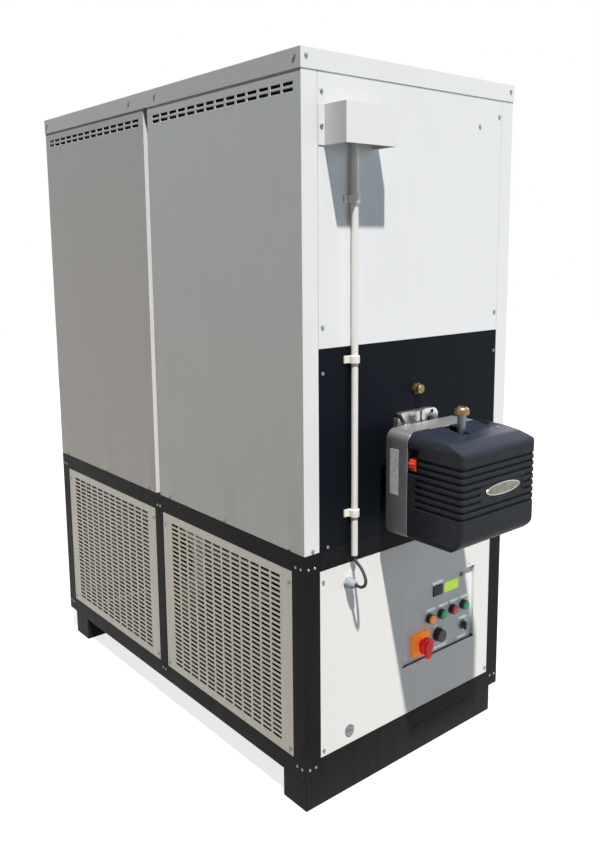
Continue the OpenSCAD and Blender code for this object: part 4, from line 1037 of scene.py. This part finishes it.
@dataclass
class Studio:
    """The camera, the lamps, the pale floor and the surroundings."""

    camera_at: Point = (-1.60562, -2.06553, 1.41709)
    right: Point = (0.76870, -0.63955, -0.00825)
    up: Point = (0.10459, 0.11296, 0.98808)
    back: Point = (-0.63100, -0.76040, 0.15372)
    lens_mm: float = 35.217
    sensor_mm: float = 36.0
    shift: tuple[float, float] = (-0.0014, -0.0588)
    far_m: float = 100.0
    sun_at: Point = (0.0, 0.0, 6.0)
    sun_way: Point = (0.199, 0.374, -0.905)
    sun_strength: float = 5.65
    sun_deg: float = 1.5
    sun_colour: str = "#FFFBF6"
    fills: tuple[tuple[str, Point, float, float, str], ...] = (
        ("front_fill", (2.2, -5.2, 1.6), 4.0, 70.0, "#CBEAFF"),
        ("rear_fill", (2.6, 5.4, 2.4), 4.0, 300.0, "#FFFFFF"),
        ("right_fill", (5.5, 0.6, 2.0), 3.5, 200.0, "#FFFFFF"),
    )
    """Each soft lamp's name, place, size in metres, power in watts and colour."""
    fill_target: Point = (0.0, 0.0, 1.0)
    floor_half_m: float = 12.0
    floor_base: float = 0.80
    floor_lit: str = "#7C7C7C"
    floor_dim: str = "#655F59"
    sky_colour: str = "#DCE6F2"
    sky_strength: float = 0.04

    def build(self) -> None:
        """Makes the whole studio."""
        self.place_camera()
        self.place_lamps()
        self.paint_world()
        self.lay_floor()
        bpy.context.scene.view_settings.view_transform = "Standard"

    def place_camera(self) -> None:
        """Sets the camera up and makes it the scene's own."""
        data = bpy.data.cameras.new("camera")
        data.lens = self.lens_mm
        data.sensor_width = self.sensor_mm
        data.shift_x, data.shift_y = self.shift
        data.clip_end = self.far_m
        camera = link_object("camera", data)
        turn = Matrix((self.right, self.up, self.back)).transposed().to_4x4()
        camera.matrix_world = Matrix.Translation(self.camera_at) @ turn
        bpy.context.scene.camera = camera

    def place_lamps(self) -> None:
        """Hangs the key lamp and the soft fills."""
        sun = bpy.data.lights.new("key_lamp", "SUN")
        sun.energy = self.sun_strength
        sun.angle = math.radians(self.sun_deg)
        sun.color = srgb(self.sun_colour)[:3]
        self.hang(sun, Vector(self.sun_at), Vector(self.sun_way))
        for name, place, size, power, colour in self.fills:
            fill = bpy.data.lights.new(name, "AREA")
            fill.shape = "SQUARE"
            fill.size = size
            fill.energy = power
            fill.color = srgb(colour)[:3]
            self.hang(fill, Vector(place), Vector(self.fill_target) - Vector(place))

    def hang(self, data: bpy.types.Light, where: Vector, way: Vector) -> None:
        """Places one lamp.

        Args:
            data: The lamp's data.
            where: Its place.
            way: The way it shines.
        """
        lamp = link_object(data.name, data)
        lamp.location = where
        lamp.rotation_euler = way.to_track_quat("-Z", "Y").to_euler()

    def paint_world(self) -> None:
        """Gives the surroundings: white where seen or mirrored, and a dim soft light elsewhere."""
        world = bpy.data.worlds.new("surroundings")
        bpy.context.scene.world = world
        tree = blank_tree(world)
        white = {"Color": srgb("#FFFFFF"), "Strength": 1.0}
        seen = add_node(tree, "ShaderNodeBackground", white)
        sky = {"Color": srgb(self.sky_colour), "Strength": self.sky_strength}
        unseen = add_node(tree, "ShaderNodeBackground", sky)
        self.by_ray(tree, unseen, seen, "ShaderNodeOutputWorld")

    def by_ray(
        self, tree: Tree, unseen: bpy.types.Node, seen: bpy.types.Node, output: str
    ) -> None:
        """Shows one shader to camera, glossy and transmission rays, and another to the rest.

        Args:
            tree: The tree that gets the switch.
            unseen: The shader for the other rays.
            seen: The shader for camera, glossy and transmission rays.
            output: The type of the tree's output node.
        """
        path = add_node(tree, "ShaderNodeLightPath").outputs
        first = maths(tree, "MAXIMUM", path["Is Camera Ray"], path["Is Glossy Ray"])
        switch = maths(tree, "MAXIMUM", first, path["Is Transmission Ray"])
        inputs = {0: switch, 1: unseen.outputs[0], 2: seen.outputs[0]}
        mix = add_node(tree, "ShaderNodeMixShader", inputs)
        add_node(tree, output, {"Surface": mix.outputs[0]})

    def lay_floor(self) -> None:
        """Lays the pale floor that keeps the object's shadow."""
        half = self.floor_half_m
        mesh = bmesh.new()
        corners = ((-half, -half), (half, -half), (half, half), (-half, half))
        mesh.faces.new([mesh.verts.new((x, y, 0)) for x, y in corners])
        data = bpy.data.meshes.new("floor")
        mesh.to_mesh(data)
        mesh.free()
        floor = link_object("floor", data)
        material = bpy.data.materials.new("floor_pale")
        tree = blank_tree(material)
        white = {"Color": srgb("#FFFFFF"), "Strength": self.floor_base}
        base = add_node(tree, "ShaderNodeEmission", white)
        lit = add_node(tree, "ShaderNodeBsdfDiffuse", {"Color": srgb(self.floor_lit)})
        both = {0: base.outputs[0], 1: lit.outputs[0]}
        shown = add_node(tree, "ShaderNodeAddShader", both)
        dim = add_node(tree, "ShaderNodeBsdfDiffuse", {"Color": srgb(self.floor_dim)})
        self.by_ray(tree, dim, shown, "ShaderNodeOutputMaterial")
        data.materials.append(material)


@dataclass
class Dresser:
    """Gives every carried-over solid its finish, and folded and moulded edges their radius."""

    nodes: dict[str, bpy.types.Object]
    record: dict[str, object]
    special: dict[str, Finish] = field(
        default_factory=lambda: {
            "display_module": DISPLAY_PLASTIC,
            "lower_front_panel": LOWER_PAINTED_WARM_LIGHT,
            "lid": LID_TOP_PAINTED_SHADE,
            "sensor_cover": SENSOR_TOP_PAINTED_SHADE,
            "burner_casting": CAST_HOUSING,
        }
    )
    # Painted shade: these solids' faces that look left or right get a darker finish of their own.
    sides: dict[str, Finish] = field(
        default_factory=lambda: SIDE_PANEL_SHADED_COATS
        | {"lid": LID_SIDE_PAINTED_SHADE, "sensor_cover": LID_SIDE_PAINTED_SHADE, "casing_posts": VENT_PAINTED_SHADE}
    )
    edge_mm: dict[str, float] = field(
        default_factory=lambda: {node: mm for mm, nodes in EDGES_MM.items() for node in nodes}
    )
    sharp_deg: dict[str, float] = field(default_factory=lambda: {"burner_cover": 17.0})
    usual_sharp_deg: float = 40.0
    sideways: float = 0.9
    weld_mm: float = 0.02
    flat_deg: float = 0.4

    def dress(self) -> None:
        """Dresses all the solids."""
        slots = {part["node"]: part["material_slot"] for part in self.record["subparts"]}
        for name, node in self.nodes.items():
            finish = self.special.get(name) or SLOT_FINISHES[slots[name]]
            node.data.materials.clear()
            node.data.materials.append(finish.material())
            if name in self.sides:
                self.paint_side_shade(node, self.sides[name])
            if name in self.edge_mm:
                sharp = self.sharp_deg.get(name, self.usual_sharp_deg)
                self.soften(node, self.edge_mm[name], sharp)
        LOG.info("dressed %d solids", len(self.nodes))

    def paint_side_shade(self, node: bpy.types.Object, finish: Finish) -> None:
        """Paints shade on a solid's faces on the cabinet's long sides, with a finish of their own.

        Args:
            node: The solid.
            finish: The painted shade finish of the faces that look left or right.
        """
        node.data.materials.append(finish.material())
        for polygon in node.data.polygons:
            polygon.material_index = 1 if abs(polygon.normal.x) > self.sideways else 0

    def soften(self, node: bpy.types.Object, width_mm: float, sharp_deg: float) -> None:
        """Rounds a solid's edges with modifiers, which leave its mesh as it is.

        Args:
            node: The solid.
            width_mm: The radius of its edges, in millimetres.
            sharp_deg: The smallest bend that counts as an edge, in degrees.
        """
        weld = node.modifiers.new("weld", "WELD")
        weld.merge_threshold = self.weld_mm * MM
        # Each flat face becomes one polygon, so no bevel runs along its triangles' edges.
        flat = node.modifiers.new("flat_faces", "DECIMATE")
        flat.decimate_type = "DISSOLVE"
        flat.angle_limit = math.radians(self.flat_deg)
        bevel = node.modifiers.new("edge_radius", "BEVEL")
        bevel.width = width_mm * MM
        bevel.segments = 2
        bevel.limit_method = "ANGLE"
        bevel.angle_limit = math.radians(sharp_deg)
        bevel.use_clamp_overlap = True
        bevel.harden_normals = False
        shade = node.modifiers.new("flat_shading", "WEIGHTED_NORMAL")
        shade.mode = "FACE_AREA"
        shade.keep_sharp = False


@dataclass
class PlateSpec:
    """One flat piece, with its middle and sizes in millimetres, its finish, and a slot that
    nothing reads.
    """

    name: str
    x: float
    y: float
    z: float
    width: float
    height: float
    radius: float
    thickness: float
    finish: Finish
    slot: str
    facing: Facing = Facing.FRONT
    chamfer: float = 0.2

    def build(self) -> None:
        """Builds the piece."""
        outline = rounded_outline(self.width * MM, self.height * MM, self.radius * MM)
        mesh = plate_mesh(outline, self.thickness * MM, self.chamfer * MM)
        turn = Matrix.Rotation(math.radians(self.facing.value), 4, "Z")
        place = Matrix.Translation(at(self.x, self.y, self.z)) @ turn
        add_piece(self.name, mesh, place, self.finish)


@dataclass
class ControlLabels:
    """Bare label strips in the control recess, and the yellow-green tag."""

    back_y: float = 10.0
    strip_radius: float = 1.0
    strip_thick: float = 0.6
    strips: tuple[tuple[str, float, float, float, float], ...] = (
        ("label_lamp_1", 87.0, 398.7, 40.0, 9.0),
        ("label_lamp_2", 140.0, 398.7, 40.0, 9.0),
        ("label_lamp_3", 187.5, 398.7, 38.0, 9.0),
        ("label_lamp_4", 231.0, 398.7, 34.0, 9.0),
        ("label_display", 114.0, 472.7, 44.0, 9.0),
        ("label_thermostat", 129.0, 276.6, 59.0, 9.0),
        ("label_selector_high", 225.6, 335.0, 38.0, 10.0),
        ("label_selector_low", 222.7, 277.0, 36.0, 9.0),
        ("label_switch", 106.6, 343.5, 12.0, 10.0),
    )
    """Each strip's name, its middle along X and Z, its width and its height, in millimetres."""
    tag_at: tuple[float, float] = (174.0, 448.3)
    tag_form: tuple[float, ...] = (59.0, 28.5, 1.5, 1.0)
    """The tag's width, height, corner radius and thickness, in millimetres."""

    def build(self) -> None:
        """Builds every label."""
        for name, x, z, width, height in self.strips:
            form = (width, height, self.strip_radius, self.strip_thick)
            PlateSpec(name, x, self.back_y, z, *form, LABEL_WHITE, "conduit_white").build()
        x, z = self.tag_at
        form = self.tag_form
        PlateSpec("tag_yellow_green", x, self.back_y, z, *form, LABEL_LIME, "lens_green").build()


@dataclass
class BurnerTrim:
    """The burner's bare oval badge and cover screw, and the bare rating plate on the casting.

    All measures are in millimetres and degrees.
    """

    badge_at: Point = (5.0, -283.5, 837.5)
    badge_chamfer: float = 0.6
    badge_steps: int = 72
    screw_at: Point = (82.0, -204.0, 960.4)
    screw_d: float = 16.0
    screw_tall: float = 1.6
    screw_chamfer: float = 0.5
    screw_slope: float = 11.0
    all_round: float = 0.999
    groove_long: float = 12.8
    groove_wide: float = 2.4
    groove_radius: float = 0.6
    groove_thick: float = 0.6
    groove_chamfer: float = 0.2
    groove_up: float = 1.3
    groove_turn: float = 30.0
    plate_at: Point = (-149.0, -69.0, 860.0)
    plate_form: tuple[float, ...] = (28.0, 116.0, 2.0, 0.8)
    """The rating plate's width, height, corner radius and thickness."""

    def build(self) -> None:
        """Builds the burner's trim."""
        self.badge("badge_rim", 130.0, 30.0, 1.1, BADGE_RIM)
        self.badge("badge_face", 125.0, 25.0, 1.4, BADGE_FOIL)
        self.cover_screw()
        form = (*self.plate_at, *self.plate_form)
        PlateSpec("rating_plate", *form, RATING_FOIL, "bezel_metal", Facing.LEFT).build()

    def cover_screw(self) -> None:
        """Builds the slotted screw that holds the cover down, on the ridge beside the scoop."""
        across = self.screw_d * MM
        outline = rounded_outline(across, across, across / 2 * self.all_round)
        head = plate_mesh(outline, self.screw_tall * MM, self.screw_chamfer * MM)
        tip = Matrix.Rotation(math.radians(self.screw_slope - 90), 4, "X")
        slope = Matrix.Translation(at(*self.screw_at)) @ tip
        add_piece("cover_screw", head, slope, BLACK_PLASTIC, "cover")
        outline = rounded_outline(
            self.groove_long * MM, self.groove_wide * MM, self.groove_radius * MM
        )
        groove = plate_mesh(outline, self.groove_thick * MM, self.groove_chamfer * MM)
        turn = Matrix.Rotation(math.radians(self.groove_turn), 4, "Y")
        raised = slope @ Matrix.Translation((0.0, -self.groove_up * MM, 0.0)) @ turn
        add_piece("cover_screw_slot", groove, raised, ZINC_SCREW, "cover")

    def badge(
        self, name: str, width: float, height: float, thick: float, finish: Finish
    ) -> None:
        """Builds one oval of the badge.

        Args:
            name: The piece's name.
            width: Its width, in millimetres.
            height: Its height, in millimetres.
            thick: Its thickness, in millimetres.
            finish: Its finish.
        """
        angles = [math.tau * k / self.badge_steps for k in range(self.badge_steps)]
        outline = [
            Vector((width / 2 * MM * math.cos(a), 0.0, height / 2 * MM * math.sin(a)))
            for a in angles
        ]
        mesh = plate_mesh(outline, thick * MM, self.badge_chamfer * MM)
        place = Matrix.Translation(at(*self.badge_at))
        add_piece(name, mesh, place, finish, "cover")


@dataclass
class ProbeCable:
    """The probe's cable, from the gland round its loop and up the whole conduit."""

    diameter: float = 8.0 * MM
    conduit_x: float = -231.0
    conduit_y: float = -12.5
    conduit_low: float = 648.0
    conduit_high: float = 1660.0
    rise_step: float = 20.0
    sides: int = 16
    steps: int = 6

    def route(self) -> list[Vector]:
        """Gives the cable's centreline.

        Returns:
            Points in the row frame, in metres.
        """
        loop = [
            (-242, -30, 576),
            (-242, -39, 576),
            (-241, -50, 577),
            (-238, -58, 584),
            (-235, -58, 595),
            (-233, -50, 608),
            (-232, -38, 621),
            (self.conduit_x, self.conduit_y - 5, self.conduit_low - 14),
            (self.conduit_x, self.conduit_y, self.conduit_low),
        ]
        knots = [Vector(p) for p in loop]
        ends = [2 * knots[0] - knots[1]] + knots + [knots[-1] + Vector((0, 0, 12))]
        points = []
        for i in range(1, len(knots)):
            for step in range(self.steps):
                points.append(self.between(ends[i - 1 : i + 3], step / self.steps))
        count = int((self.conduit_high - self.conduit_low) / self.rise_step)
        rise = [self.conduit_low + k * self.rise_step for k in range(count)] + [self.conduit_high]
        points += [Vector((self.conduit_x, self.conduit_y, z)) for z in rise]
        return [at(*p) for p in points]

    def between(self, knots: list[Vector], t: float) -> Vector:
        """Gives a point of the smooth curve through four knots, between the middle two.

        Args:
            knots: The four knots.
            t: The share of the way from the second knot to the third.

        Returns:
            The point.
        """
        a, b, c, d = knots
        bend = (2 * a - 5 * b + 4 * c - d) * t * t
        twist = (3 * b - a - 3 * c + d) * t**3
        return 0.5 * (2 * b + (c - a) * t + bend + twist)

    def tube(self, path: list[Vector]) -> Mesh:
        """Sweeps the cable's round section along its path.

        Args:
            path: The centreline, in metres.

        Returns:
            The mesh, which add_piece frees.
        """
        mesh = bmesh.new()
        rings = []
        normal = Vector((1, 0, 0))
        angles = [math.tau * k / self.sides for k in range(self.sides)]
        for i, point in enumerate(path):
            before, after = path[max(i - 1, 0)], path[min(i + 1, len(path) - 1)]
            # The cable leaves the gland square to the panel.
            way = (after - before).normalized() if i else Vector((0, -1, 0))
            side = way.cross(normal).normalized()
            up = side.cross(way).normalized()
            spokes = [math.cos(a) * side + math.sin(a) * up for a in angles]
            rings.append([mesh.verts.new(point + self.diameter / 2 * s) for s in spokes])
        close_rings(mesh, rings)
        return mesh

    def build(self) -> None:
        path = self.route()
        cable = add_piece(
            "probe_cable_jacket",
            self.tube(path),
            Matrix.Identity(4),
            CABLE_JACKET,
            smooth=True,
        )
        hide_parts("probe_cable")


def main() -> None:
    """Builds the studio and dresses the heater."""
    logging.basicConfig(level=logging.INFO)
    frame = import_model()
    Studio().build()
    ProbeCable().build()
    Dresser(frame["nodes"], frame["record"]).dress()
    ControlLabels().build()
    BurnerTrim().build()


if __name__ == "__main__":
    main()
